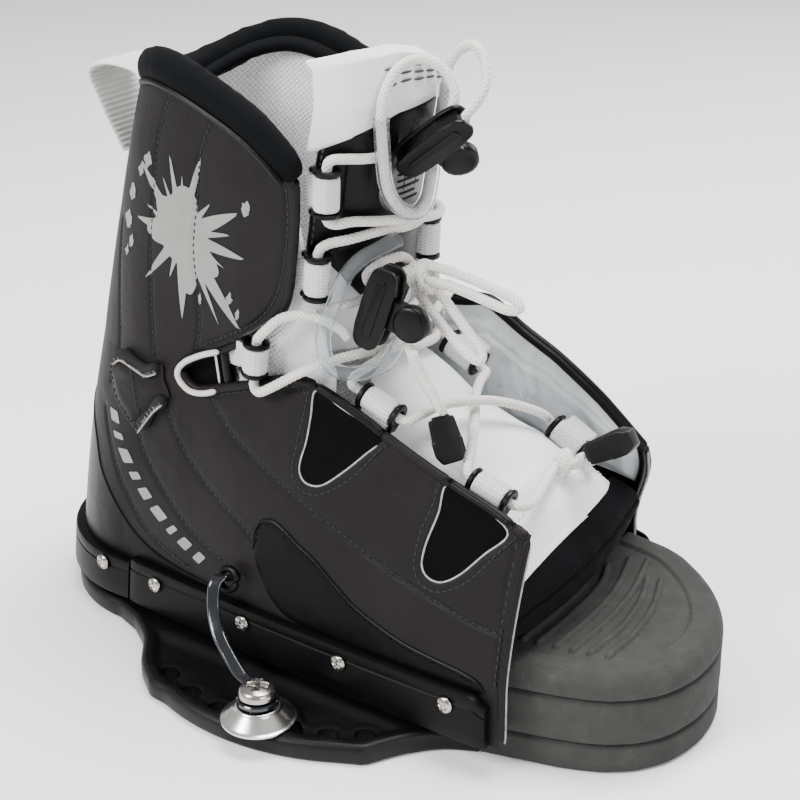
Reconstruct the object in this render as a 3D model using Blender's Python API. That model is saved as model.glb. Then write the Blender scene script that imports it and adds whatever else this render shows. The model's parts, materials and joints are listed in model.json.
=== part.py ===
"""Lace-up wakeboard boot on a winged mounting plate, modelled as separate solids.

Lengths in this file are millimetres; MM turns them into Blender's metres.
+X points to the toe, -Y is the outer (near) side of the foot, +Z is up.
The origin is the centre of the mounting-hole circle on the plate's underside.
"""
import math

import bmesh
import bpy
from mathutils import Matrix, Vector

MM = 0.001
GAP = 0.35                      # clearance kept between touching pieces

# Mounting plate
PLATE_T = 7.0                   # plate thickness
HOLE_CIRCLE_R = 76.2            # six-inch insert pattern, so a three-inch radius
WING_R = 83.8                   # outer edge of the wings
WING_X = 1.4                    # centre of the wing arc
HEEL_X = -77.0                  # centre of the plate's round heel end
HEEL_R = 46.0
PLATE_FRONT = 76.5              # straight front end, under the toe bumper
HOLE_R = 3.1
HOLE_ANGLES = (-114.5, -104.0, -93.5, -72.0, -63.0, -54.0)
SCREW_ANGLE = -81.0             # where the mounting screws sit on the circle
SCREW_SLOT_R = 3.6

# Footbed and toe bumper
FOOTBED_TOP = 35.3
GROOVES = (9.9, 26.3)           # heights of the two grooves round the bumper
SOLE_Z = (PLATE_T + GAP, 31.0)  # the slab that runs back under the boot

# Upper
WALL_BASE_Z = 30.0
ANKLE_Z = 104.0
SHOE_FRONT = 88.0
SHELL_OUT = 1.0                 # leather, measured out and in from the wall surface
SHELL_IN = -1.2
LINER_OUT = -2.75
LINER_IN = -5.2
HEEL_A = 41.0                   # heel curve's depth along X

# Rails that clamp the upper to the footbed
RAIL_T = 3.6
RAIL_Z = (9.4, 27.5)             # side rails
HEEL_RAIL_Z = (9.4, 25.5)
SHELL_LOW = 9.8                 # lower edge of the upper, inside the rails
RAIL_SPLIT_X = -72.0            # joint between heel rail and side rails
RAIL_SCREW_X = (-56.0, -14.0, 28.0, 70.0)
HEEL_SCREW_X = -83.0

# Tongue
TONGUE_HALF_W = 27.5
TONGUE_DEPTH = 21.0

# Lacing
LACE_R = 1.6
TUBE_R = 2.5                    # clear sleeve round the pull loop
TUBE_BORE = 1.95
SPOOL_LEN = 15.0
SPOOL_BORE = 2.3


# ---------------------------------------------------------------- scene helpers

def clear_scene():
    for obj in list(bpy.data.objects):
        bpy.data.objects.remove(obj, do_unlink=True)


def material(name, colour, roughness=0.6, metallic=0.0, transmission=0.0):
    mat = bpy.data.materials.get(name)
    if mat is None:
        mat = bpy.data.materials.new(name)
        mat.use_nodes = True
        shader = mat.node_tree.nodes["Principled BSDF"]
        shader.inputs["Base Color"].default_value = (*colour, 1.0)
        shader.inputs["Roughness"].default_value = roughness
        shader.inputs["Metallic"].default_value = metallic
        shader.inputs["Transmission Weight"].default_value = transmission
        mat.diffuse_color = (*colour, 1.0)
    return mat


MATERIALS = {
    "composite": ((0.012, 0.012, 0.013), 0.55, 0.0, 0.0),
    "eva": ((0.16, 0.155, 0.15), 0.9, 0.0, 0.0),
    "rail": ((0.016, 0.016, 0.017), 0.45, 0.0, 0.0),
    "leather": ((0.062, 0.052, 0.048), 0.5, 0.0, 0.0),
    "neoprene": ((0.010, 0.011, 0.014), 0.85, 0.0, 0.0),
    "mesh": ((0.78, 0.79, 0.81), 0.8, 0.0, 0.0),
    "elastic": ((0.82, 0.82, 0.83), 0.75, 0.0, 0.0),
    "overlay": ((0.013, 0.013, 0.014), 0.5, 0.0, 0.0),
    "webbing": ((0.72, 0.72, 0.72), 0.7, 0.0, 0.0),
    "clip": ((0.012, 0.012, 0.013), 0.35, 0.0, 0.0),
    "lace": ((0.84, 0.82, 0.79), 0.8, 0.0, 0.0),
    "tube": ((0.80, 0.84, 0.88), 0.15, 0.0, 0.8),
    "steel": ((0.72, 0.70, 0.67), 0.2, 1.0, 0.0),
    "washer": ((0.75, 0.74, 0.72), 0.3, 1.0, 0.0),
    "strap": ((0.03, 0.032, 0.035), 0.25, 0.0, 0.0),
}


def finish(name, bm, mat_name, smooth_deg=35.0):
    """Turn a bmesh in millimetres into a named object with its own mesh."""
    bmesh.ops.remove_doubles(bm, verts=bm.verts, dist=0.001)
    bmesh.ops.recalc_face_normals(bm, faces=bm.faces)
    bmesh.ops.transform(bm, matrix=Matrix.Scale(MM, 4), verts=bm.verts)
    mesh = bpy.data.meshes.new(name)
    bm.to_mesh(mesh)
    bm.free()
    mesh.materials.append(material(mat_name, *MATERIALS[mat_name]))
    mesh.shade_smooth()
    mesh.set_sharp_from_angle(angle=math.radians(smooth_deg))
    obj = bpy.data.objects.new(name, mesh)
    bpy.context.scene.collection.objects.link(obj)
    return obj


def set_origin(obj, point):
    """Move an object's origin to a point in millimetres, leaving its shape in place."""
    offset = Vector(point) * MM
    obj.data.transform(Matrix.Translation(-offset))
    obj.location = offset
    return obj


def cut(obj, *cutters):
    """Subtract closed cutter objects and delete them."""
    for cutter in cutters:
        mod = obj.modifiers.new("cut", "BOOLEAN")
        mod.operation = "DIFFERENCE"
        mod.solver = "EXACT"
        mod.object = cutter
    graph = bpy.context.evaluated_depsgraph_get()
    mesh = bpy.data.meshes.new_from_object(obj.evaluated_get(graph))
    obj.modifiers.clear()
    obj.data = mesh
    for cutter in cutters:
        bpy.data.objects.remove(cutter, do_unlink=True)
    return obj


# ---------------------------------------------------------------- small maths

def smooth(t):
    t = min(1.0, max(0.0, t))
    return t * t * (3.0 - 2.0 * t)


def ramp(x, pairs):
    """Smooth interpolation through (x, value) pairs."""
    if x <= pairs[0][0]:
        return pairs[0][1]
    for (x0, v0), (x1, v1) in zip(pairs, pairs[1:]):
        if x <= x1:
            return v0 + (v1 - v0) * (x - x0) / (x1 - x0)
    return pairs[-1][1]


def lerp(a, b, t):
    return a + (b - a) * t


def spread(a, b, n):
    return [lerp(a, b, i / (n - 1)) for i in range(n)]


def catmull(points, per_span, closed=False):
    """Points along a smooth curve through the given points."""
    pts = [Vector(p) for p in points]
    n = len(pts)
    out = []
    spans = n if closed else n - 1
    for i in range(spans):
        if closed:
            p0, p1, p2, p3 = (pts[(i + k - 1) % n] for k in range(4))
        else:
            p1, p2 = pts[i], pts[i + 1]
            p0 = pts[i - 1] if i > 0 else p1 * 2 - p2
            p3 = pts[i + 2] if i + 2 < n else p2 * 2 - p1
        for k in range(per_span):
            t = k / per_span
            out.append(0.5 * ((2 * p1) + (p2 - p0) * t + (2 * p0 - 5 * p1 + 4 * p2 - p3) * t * t
                              + (3 * p1 - p0 - 3 * p2 + p3) * t ** 3))
    if not closed:
        out.append(pts[-1])
    return out


def resample(points, step):
    """Evenly spaced points along a polyline, keeping both ends."""
    lengths = [0.0]
    for a, b in zip(points, points[1:]):
        lengths.append(lengths[-1] + (b - a).length)
    count = max(2, round(lengths[-1] / step) + 1)
    out = []
    j = 0
    for i in range(count):
        s = lengths[-1] * i / (count - 1)
        while j < len(lengths) - 2 and lengths[j + 1] < s:
            j += 1
        t = (s - lengths[j]) / max(1e-9, lengths[j + 1] - lengths[j])
        out.append(points[j].lerp(points[j + 1], min(1.0, t)))
    return out


# ---------------------------------------------------------------- solid builders

def extrude_outline(name, outline, z_lo, z_hi, mat_name, bevel=0.0, segments=2):
    """Closed prism from a plan outline (list of x, y), with rounded rims."""
    bm = bmesh.new()
    low = [bm.verts.new((x, y, z_lo)) for x, y in outline]
    face = bm.faces.new(low)
    top = bmesh.ops.extrude_face_region(bm, geom=[face])
    moved = [v for v in top["geom"] if isinstance(v, bmesh.types.BMVert)]
    bmesh.ops.translate(bm, verts=moved, vec=(0, 0, z_hi - z_lo))
    if bevel > 0:
        rims = [e for e in bm.edges if abs(e.verts[0].co.z - e.verts[1].co.z) < 1e-6]
        bmesh.ops.bevel(bm, geom=rims, offset=bevel, segments=segments, profile=0.5, affect="EDGES")
    return finish(name, bm, mat_name)


def sheet_solid(name, outer, inner, mat_name, ring=False):
    """Closed solid between two matching grids of points (rows by columns)."""
    bm = bmesh.new()
    a = [[bm.verts.new(p) for p in row] for row in outer]
    b = [[bm.verts.new(p) for p in row] for row in inner]
    rows = len(a)
    cols = len(a[0])
    for i in range(rows - 1):
        for j in range(cols - 1):
            bm.faces.new((a[i][j], a[i][j + 1], a[i + 1][j + 1], a[i + 1][j]))
            bm.faces.new((b[i][j], b[i + 1][j], b[i + 1][j + 1], b[i][j + 1]))
    for i in range(rows - 1):
        bm.faces.new((a[i][0], a[i + 1][0], b[i + 1][0], b[i][0]))
        bm.faces.new((a[i][-1], b[i][-1], b[i + 1][-1], a[i + 1][-1]))
    for j in range(cols - 1):
        bm.faces.new((a[0][j], b[0][j], b[0][j + 1], a[0][j + 1]))
        bm.faces.new((a[-1][j], a[-1][j + 1], b[-1][j + 1], b[-1][j]))
    return finish(name, bm, mat_name)


def turned(name, profile, mat_name, steps=16):
    """Solid of revolution about Z from a closed (radius, height) loop; radius 0 is the axis."""
    bm = bmesh.new()
    rings = []
    for r, z in profile:
        if r < 1e-6:
            rings.append([bm.verts.new((0, 0, z))])
        else:
            angles = (2 * math.pi * k / steps for k in range(steps))
            rings.append([bm.verts.new((r * math.cos(a), r * math.sin(a), z)) for a in angles])
    for p, q in zip(rings, rings[1:] + rings[:1]):
        if len(p) == 1 and len(q) == 1:
            continue
        for k in range(steps):
            n = (k + 1) % steps
            if len(p) == 1:
                bm.faces.new((p[0], q[k], q[n]))
            elif len(q) == 1:
                bm.faces.new((p[k], p[n], q[0]))
            else:
                bm.faces.new((p[k], p[n], q[n], q[k]))
    return finish(name, bm, mat_name)


def place(obj, matrix):
    """Apply a placement in millimetres to an object's mesh."""
    scaled = matrix.copy()
    scaled.translation = matrix.translation * MM
    obj.data.transform(scaled)
    return obj


def frame_at(point, z_axis, x_hint):
    """Placement whose Z runs along z_axis and whose X leans to x_hint."""
    z = Vector(z_axis).normalized()
    x = Vector(x_hint)
    x = (x - z * x.dot(z)).normalized()
    y = z.cross(x)
    rot = Matrix((x, y, z)).transposed().to_4x4()
    return Matrix.Translation(Vector(point)) @ rot


def tube_curve(name, route, radius, mat_name, step):
    """Round cord through hand-chosen route points, as a bevelled curve with caps."""
    points = resample(catmull(route, 8), step)
    data = bpy.data.curves.new(name, "CURVE")
    data.dimensions = "3D"
    data.bevel_depth = radius * MM
    data.bevel_resolution = 2
    data.use_fill_caps = True
    spline = data.splines.new("POLY")
    spline.points.add(len(points) - 1)
    for slot, p in zip(spline.points, points):
        slot.co = (*(p * MM), 1.0)
    data.materials.append(material(mat_name, *MATERIALS[mat_name]))
    obj = bpy.data.objects.new(name, data)
    bpy.context.scene.collection.objects.link(obj)
    return obj


def cutter_cylinder(x, y, z_lo, z_hi, radius, steps=16, slot=0.0, angle=0.0):
    """Upright round or slotted cutter; slot is the extra length along angle."""
    outline = []
    for k in range(steps):
        a = 2 * math.pi * (k + 0.5) / steps
        px = radius * math.cos(a)
        px += slot / 2 if px > 0 else -slot / 2
        py = radius * math.sin(a)
        outline.append((x + px * math.cos(angle) - py * math.sin(angle),
                        y + px * math.sin(angle) + py * math.cos(angle)))
    return extrude_outline("cutter", outline, z_lo, z_hi, "clip")


# ---------------------------------------------------------------- boot surface

def back_x(z):
    """Heel line: how far back the boot reaches at a height."""
    return -121.5 + 0.13 * z + 0.0005 * z * z


def base_half_width(x, side):
    """Half width of the boot at the footbed; the inner side swells at the ball of the foot."""
    half = 46.3 + 0.045 * x - 0.0003 * x * x
    return half + (16.0 * smooth((x - 5.0) / 72.0) if side > 0 else 0.0)


def top_height(x, side):
    """Height of the lower shell's top edge along the foot."""
    near = ((-48, 104), (-45, 100.5), (-40, 98.5), (-34, 100), (-20, 104.6), (-9, 108.6), (1, 111),
            (10, 109.5), (24, 103.5), (36, 97.5), (57, 89), (75, 84), (88, 79))
    far = ((-48, 104), (-45, 100.5), (-38, 98.5), (-26, 101), (-14, 106), (0, 114), (14, 119),
           (28, 121), (40, 113), (55, 105), (71, 94), (88, 78))
    return ramp(x, near if side < 0 else far)


def top_half_width(x, side):
    """Half width at the lower shell's top edge."""
    near = ((-60, 36.5), (-20, 36.0), (10, 33.5), (30, 32.0), (60, 31.5), (88, 34.0))
    far = ((-60, 36.5), (-20, 36.5), (10, 38.0), (40, 41.0), (70, 42.0), (88, 44.0))
    return ramp(x, near if side < 0 else far)


def half_width(x, z, side):
    base = base_half_width(x, side)
    top = top_half_width(x, side)
    rise = (z - WALL_BASE_Z) / (max(top_height(x, side), 78.0) - WALL_BASE_Z)
    lean = min(1.0, max(0.0, rise)) ** 1.5
    shaft = 1.0 * smooth((z - 120.0) / 60.0)
    return lerp(base, top, lean) + shaft


def wall_point(t, z, side, off, front):
    """A point on the boot's wall: t 0 is the heel line, 1 the end of the heel curve, 2 the front."""
    centre = back_x(z) + HEEL_A
    front = front(z, side)
    if t <= 1.0:
        a = t * math.pi / 2
        w = half_width(centre, z, side) + off
        return Vector((centre - (HEEL_A + off) * math.cos(a), side * w * math.sin(a), z))
    x = lerp(centre, front, t - 1.0)
    return Vector((x, side * (half_width(x, z, side) + off), z))


def shoe_front(z, side):
    """Front edge of the lower shell; it stands further back on the inner side, past the bumper."""
    return SHOE_FRONT if side < 0 else lerp(76.0, 88.0, smooth((z - 36.0) / 42.0))


def cuff_front(z, side):
    return ramp(z, ((120, -8.0), (126, -6.0), (133, -3.0), (142, 0.0), (158, 2.5), (175, 3.5)))


def liner_front(z, side):
    return 12.0


def wall_sheet(name, columns, z_range, rows, off_out, off_in, front, mat_name):
    """Shell following the boot's wall; columns are signed, minus for the near side."""
    outer = []
    inner = []
    for i in range(rows):
        row_out = []
        row_in = []
        for c in columns:
            side = -1 if c < 0 else 1
            z_lo, z_hi = z_range(abs(c), side)
            z = lerp(z_lo, z_hi, i / (rows - 1))
            row_out.append(wall_point(abs(c), z, side, off_out, front))
            row_in.append(wall_point(abs(c), z, side, off_in, front))
        outer.append(row_out)
        inner.append(row_in)
    return sheet_solid(name, outer, inner, mat_name)


# ---------------------------------------------------------------- base plate

def plate_edge():
    """Near half of the plate's outline, from the heel tip to the front corner."""
    heel = []
    for k in range(9):
        a = math.radians(180 + 90 * k / 8)
        heel.append((HEEL_X + HEEL_R * math.cos(a), HEEL_R * math.sin(a)))
    waist = catmull([(-66, -49.8, 0), (-55, -57.5, 0), (-44.5, -70, 0), (-33, -78.6, 0)], 3)
    wing = []
    for k in range(9):
        a = math.radians(lerp(-109.0, -62.0, k / 8))
        wing.append((WING_X + WING_R * math.cos(a), WING_R * math.sin(a)))
    nose = catmull([(50, -69.5, 0), (57, -58, 0), (66, -48.5, 0), (PLATE_FRONT, -43, 0)], 3)
    return heel + [(p.x, p.y) for p in waist] + wing + [(p.x, p.y) for p in nose]


def base_plate():
    near = plate_edge()
    far = [(x, -y) for x, y in reversed(near) if abs(y) > 0.01]
    plate = extrude_outline("base_plate", near + far, 0.0, PLATE_T, "composite", bevel=2.2)
    cutters = []
    for side in (-1, 1):
        for degrees in HOLE_ANGLES:
            a = math.radians(degrees)
            x = HOLE_CIRCLE_R * math.cos(a)
            y = -side * HOLE_CIRCLE_R * math.sin(a)
            cutters.append(cutter_cylinder(x, y, -1, PLATE_T + 1, HOLE_R, slot=0.8, steps=12,
                                           angle=-side * a + math.pi / 2))
        x, y = screw_xy(side)
        cutters.append(cutter_cylinder(x, y, -1, PLATE_T + 1, SCREW_SLOT_R, steps=16))
    return cut(plate, *cutters)


def screw_xy(side):
    a = math.radians(SCREW_ANGLE)
    return HOLE_CIRCLE_R * math.cos(a), -side * HOLE_CIRCLE_R * math.sin(a)


# ---------------------------------------------------------------- footbed

def bumper_outline(inset=0.0):
    """Plan outline of the toe bumper from its near rear corner round to the far one."""
    route = [(77, -42.6, 0), (90, -39.2, 0), (105, -35, 0), (118, -28.5, 0), (128, -17.5, 0),
             (133, -2, 0), (132.5, 14, 0), (127, 29, 0), (115, 44.5, 0), (98, 57, 0), (77, 62, 0)]
    points = catmull(route, 2)
    out = []
    for i, p in enumerate(points):
        before = points[max(0, i - 1)]
        after = points[min(len(points) - 1, i + 1)]
        along = (after - before).normalized()
        out.append((p.x - along.y * inset, p.y + along.x * inset))
    return out


def footbed():
    """One foam moulding: a sole slab over the plate and a stepped bumper past its front end."""
    tiers = []
    edge = 1.4
    levels = (0.0, GROOVES[0], GROOVES[1], FOOTBED_TOP)
    for lo, hi in zip(levels, levels[1:]):
        tiers += [(lo, edge), (lo + edge, 0.0), (hi - edge, 0.0), (hi, edge)]
    tiers[0] = (0.0, 0.8)
    tiers[-2] = (FOOTBED_TOP - 3.2, 0.0)
    tiers[-1] = (FOOTBED_TOP, 4.2)
    bm = bmesh.new()
    rings = []
    for z, inset in tiers:
        front = bumper_outline(inset)
        rings.append([bm.verts.new((x, y, z)) for x, y in front])
    for low, high in zip(rings, rings[1:]):
        for k in range(len(low)):
            n = (k + 1) % len(low)
            if (low[k].co - high[k].co).length > 1e-5 or (low[n].co - high[n].co).length > 1e-5:
                bm.faces.new((low[k], low[n], high[n], high[k]))
    bm.faces.new(rings[0][::-1])
    bm.faces.new(rings[-1])
    bumper = finish("footbed", bm, "eva")
    columns = [-t for t in spread(1.95, 0.0, 16)] + spread(0.0, 1.95, 16)[1:]
    outline = [(79.0, -40.0)]
    for c in columns:
        side = -1 if c < 0 else 1
        p = wall_point(abs(c), SOLE_Z[1], side, LINER_OUT, lambda z, side: 78.0)
        outline.append((p.x, p.y))
    outline.append((79.0, 58.0))
    slab = extrude_outline("slab", outline, SOLE_Z[0], SOLE_Z[1], "eva")
    mod = bumper.modifiers.new("join", "BOOLEAN")
    mod.operation = "UNION"
    mod.solver = "EXACT"
    mod.object = slab
    graph = bpy.context.evaluated_depsgraph_get()
    mesh = bpy.data.meshes.new_from_object(bumper.evaluated_get(graph))
    bumper.modifiers.clear()
    bumper.data = mesh
    bpy.data.objects.remove(slab, do_unlink=True)
    return bumper


# ---------------------------------------------------------------- rails and rail screws

def rails():
    """A heel rail and two side rails, clamping the upper's lower edge to the footbed."""
    def z_range(t, side):
        return RAIL_Z

    def heel_z_range(t, side):
        return HEEL_RAIL_Z

    inner = SHELL_OUT + GAP
    split = 1.0 + (RAIL_SPLIT_X + 78.5) / 160.0
    heel = [-t for t in spread(split, 0.0, 9)] + spread(0.0, split, 9)[1:]
    wall_sheet("heel_rail", heel, heel_z_range, 2, inner + RAIL_T, inner, rail_front, "rail")
    side_columns = spread(split + 0.005, 2.0, 14)
    wall_sheet("rail_near", [-t for t in side_columns], z_range, 2, inner + RAIL_T, inner,
               rail_front, "rail")
    wall_sheet("rail_far", side_columns, z_range, 2, inner + RAIL_T, inner + GAP, rail_front, "rail")


def rail_front(z, side):
    return 84.0 if side < 0 else 74.0


def rail_screws():
    """Pan heads standing on the rail's outer face, one on the heel rail and four on the side."""
    z = 22.0
    spots = [("heel_rail_screw", HEEL_SCREW_X)]
    spots += [("rail_screw_%d" % (i + 1), x) for i, x in enumerate(RAIL_SCREW_X)]
    for name, x in spots:
        t = 1.0 + (x - back_x(z) - HEEL_A) / (rail_front(z, -1) - back_x(z) - HEEL_A)
        if t < 1.0:
            t = 1.0 - math.asin((back_x(z) + HEEL_A - x) / (HEEL_A + 5.0)) * 2 / math.pi
        off = SHELL_OUT + GAP + RAIL_T + GAP
        here = wall_point(t, z, -1, off, rail_front)
        ahead = wall_point(t + 0.02, z, -1, off, rail_front)
        along = (ahead - here).normalized()
        outward = Vector((along.y, -along.x, 0.0))
        head = turned(name, [(0, 0), (3.4, 0), (3.4, 0.5), (2.4, 1.6), (0, 2.0)], "steel", steps=10)
        place(head, frame_at(here + outward * 0.1, outward, (0, 0, 1)))


# ---------------------------------------------------------------- upper

def lower_shells():
    def z_range(t, side):
        x = wall_point(t, ANKLE_Z, side, 0.0, shoe_front).x
        return SHELL_LOW, top_height(x, side)

    columns = spread(0.003, 1.0, 9) + spread(1.0, 2.0, 16)[1:]
    wall_sheet("quarter_near", [-c for c in columns], z_range, 9, SHELL_OUT, SHELL_IN,
               shoe_front, "leather")
    wall_sheet("quarter_far", columns, z_range, 9, SHELL_OUT, SHELL_IN, shoe_front, "leather")


CUFF_TOP = ((0.0, 186.5), (0.35, 190.5), (0.65, 196.0), (1.0, 198.5), (1.25, 194.5), (1.5, 189.0),
            (1.75, 182.5), (2.0, 176.0))
CUFF_LOW = ((0.0, ANKLE_Z + GAP), (1.2, ANKLE_Z + GAP), (1.28, 109.0), (1.38, 114.0), (1.55, 119.0),
            (1.75, 124.0), (1.9, 130.0), (2.0, 138.0))


def cuffs():
    """Upper shaft shells, open in front; their lower front corners stop above the ankle slot."""
    def z_range(t, side):
        return ramp(t, CUFF_LOW), ramp(t, CUFF_TOP) - (2.0 if side > 0 else 0.0)

    columns = spread(0.003, 1.0, 9) + spread(1.0, 2.0, 10)[1:]
    wall_sheet("cuff_near", [-c for c in columns], z_range, 6, SHELL_OUT, SHELL_IN,
               cuff_front, "leather")
    wall_sheet("cuff_far", columns, z_range, 6, SHELL_OUT, SHELL_IN, cuff_front, "leather")


def liner():
    """Inner boot: a soft wall from the sole to just under the collar, open at the front."""
    def z_range(t, side):
        top = ((0, 181.0), (1.0, 192.0), (1.5, 178.0), (1.75, 130.0), (2.0, 114.0))
        return SOLE_Z[1] + GAP, ramp(t, top)

    columns = [-t for t in spread(2.0, 0.0, 17)] + spread(0.0, 2.0, 17)[1:]
    wall_sheet("liner", columns, z_range, 10, LINER_OUT, LINER_IN, liner_front, "mesh")


COLLAR_HALF = ((1, -36, 185), (-6, -36.6, 190), (-16, -37, 196), (-28, -37, 201.5),
               (-40, -36.5, 205.5), (-51, -32.5, 206), (-61, -24.5, 203), (-67, -13, 198))


def collar():
    """Padded roll round the top of the shaft, dipped at the back."""
    near = list(COLLAR_HALF)
    far = [(x, -y, z - 2.0) for x, y, z in reversed(near)]
    tube_curve("collar", near + [(-69, 0, 194)] + far, 5.0, "neoprene", 9.0)


# ---------------------------------------------------------------- vamp and toe rim

VAMP_CREST = ((18, 112.0), (27, 105.5), (37, 98.0), (57, 88.0), (70, 80.0), (78, 71.0), (82, 62.5))
VAMP_X = (18.0, 27.0, 37.0, 47.0, 57.0, 64.0, 70.0, 75.0, 79.0, 82.0)


def vamp_point(x, u, off):
    """Point on the vamp's arch; u runs from -1 at the near side to 1 at the far side."""
    a = u * math.pi / 2
    crest = ramp(x, VAMP_CREST)
    base = lerp(52.0, 45.0, (x - 27.0) / 55.0)
    half = (lerp(31.0, 39.5, smooth((x - 27.0) / 40.0)) if u < 0
            else lerp(33.0, 43.0, smooth((x - 27.0) / 50.0)))
    y = 1.0 + (half + off) * math.copysign(abs(math.sin(a)) ** 0.9, u)
    z = base + (crest - base + off) * max(0.0, math.cos(a)) ** 0.75
    return Vector((x, y, z))


def vamp():
    columns = spread(-1.0, 1.0, 19)
    outer = [[vamp_point(x, u, 0.0) for u in columns] for x in VAMP_X]
    inner = [[vamp_point(x, u, -2.2) for u in columns] for x in VAMP_X]
    sheet_solid("vamp", outer, inner, "mesh")


def rim_point(u, v, off):
    """Point on the toe rim's band; v 0 is its upper edge and 1 its lower edge."""
    bow = 1.0 - u * u
    top = Vector((84.0 + 3.6 * bow, 1.5 + 40.5 * u, 58.0 + 4.0 * u + 0.5 * bow))
    low = Vector((85.0 + 4.6 * bow, 1.5 + 42.0 * u, 48.5 + 4.5 * u - 2.5 * bow))
    p = top.lerp(low, v)
    return p + Vector((off + 1.6 * math.sin(math.pi * v), 0.0, 0.0))


def toe_rim():
    columns = spread(-1.0, 1.0, 15)
    outer = [[rim_point(u, v, 0.0) for u in columns] for v in spread(0.0, 1.0, 5)]
    inner = [[rim_point(u, v, -2.6) for u in columns] for v in spread(0.0, 1.0, 5)]
    sheet_solid("toe_rim", outer, inner, "neoprene")


# ---------------------------------------------------------------- tongue

TONGUE_FRONT = ((116, 14.5), (130, 14.5), (146, 15.5), (160, 18.0), (180, 21.0), (200, 26.0),
                (214, 25.5))
TONGUE_TOP = ((-1.5, 213.0), (-0.9, 216.0), (-0.4, 217.0), (0.0, 214.5), (0.4, 209.0), (0.8, 203.5),
              (1.5, 198.0))


def tongue_point(a, z, off):
    """Point on the tongue; a is the angle from straight ahead, plus to the far side."""
    centre = ramp(z, TONGUE_FRONT) - TONGUE_DEPTH
    return Vector((centre + (TONGUE_DEPTH + off) * math.cos(a),
                   (TONGUE_HALF_W + off) * math.sin(a), z))


def tongue_sheet(name, angles, z_range, rows, off_out, off_in, mat_name):
    grids = []
    for off in (off_out, off_in):
        grid = []
        for i in range(rows):
            row = []
            for a in angles:
                z_lo, z_hi = z_range(a)
                row.append(tongue_point(a, lerp(z_lo, z_hi, i / (rows - 1)), off))
            grid.append(row)
        grids.append(grid)
    sheet_solid(name, grids[0], grids[1], mat_name)


BAND_LOW = ((-1.5, 184.0), (-0.9, 190.0), (-0.4, 196.0), (0.2, 198.0), (0.8, 193.0), (1.5, 188.0))


def tongue_parts():
    """Padded tongue, its black front overlay and the elastic band round its top."""
    wide = [math.radians(d) for d in spread(-84.0, 84.0, 15)]
    tongue_sheet("tongue", wide, lambda a: (116.0, ramp(a, TONGUE_TOP) - 1.5), 9, 0.0, -5.0, "mesh")
    face = [math.radians(d) for d in spread(-74.0, 60.0, 12)]
    tongue_sheet("tongue_overlay", face,
                 lambda a: (lerp(126.0, 150.0, smooth(abs(a) / 1.3)), ramp(a, BAND_LOW) - GAP), 6,
                 GAP + 1.2, GAP, "overlay")
    band = [math.radians(d) for d in spread(-82.0, 82.0, 15)]
    tongue_sheet("tongue_band", band, lambda a: (ramp(a, BAND_LOW), ramp(a, TONGUE_TOP)), 4,
                 GAP + 1.4, GAP, "elastic")


def strap(name, path, thickness, width, matrix, mat_name):
    """Flat webbing following a plan path, extruded by its width along local Z."""
    left = []
    right = []
    for i, p in enumerate(path):
        before = Vector(path[max(0, i - 1)])
        after = Vector(path[min(len(path) - 1, i + 1)])
        along = (after - before).normalized()
        normal = Vector((-along.y, along.x))
        left.append(Vector(p) + normal * thickness / 2)
        right.append(Vector(p) - normal * thickness / 2)
    outer = [[Vector((q.x, q.y, z)) for q in left] for z in (-width / 2, width / 2)]
    inner = [[Vector((q.x, q.y, z)) for q in right] for z in (-width / 2, width / 2)]
    return place(sheet_solid(name, outer, inner, mat_name), matrix)


def heel_loop():
    """White pull loop standing off the back of the shaft, sewn at its two ends."""
    path = [(-79.5, 193.5), (-86, 195.5), (-94, 195.5), (-101, 191.5), (-104.5, 184.5), (-103, 177),
            (-98, 171), (-91.5, 166.5)]
    smooth_path = catmull([(x, z, 0) for x, z in path], 2)
    matrix = Matrix(((1, 0, 0, 0), (0, 0, -1, 0), (0, 1, 0, 0), (0, 0, 0, 1)))
    strap("heel_loop", [(p.x, p.y) for p in smooth_path], 1.6, 22.0, matrix, "webbing")


# ---------------------------------------------------------------- lace loops

# name, spool centre, spool axis, direction of the webbing tail, tail length
LACE_LOOPS = (
    ("near_top", (11.5, -31, 174), (0.05, 0.0, 1.0), (-1.0, 0.05, 0.1), 8.0),
    ("near_mid", (7.5, -31.5, 146), (0.08, 0.0, 1.0), (-1.0, 0.12, 0.0), 7.5),
    ("near_ankle", (-13, -38.8, 116), (0.12, 0.0, 1.0), (-1.0, 0.06, 0.0), 12.0),
    ("near_instep", (28, -26.5, 105), (0.94, 0.0, -0.34), (-0.1, -0.22, -1.0), 8.0),
    ("near_toe", (69, -25.5, 85.5), (0.95, 0.0, -0.30), (-0.1, -0.22, -1.0), 7.5),
    ("far_mid", (9.5, 28.6, 143), (0.05, 0.0, 1.0), (-1.0, 0.1, 0.0), 7.5),
    ("far_instep", (25, 27, 104), (0.90, 0.0, -0.44), (0.0, 1.0, 0.25), 9.5),
    ("far_toe", (67.1, 28.1, 81.8), (0.88, 0.0, -0.48), (0.0, 1.0, 0.1), 9.5),
)


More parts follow.
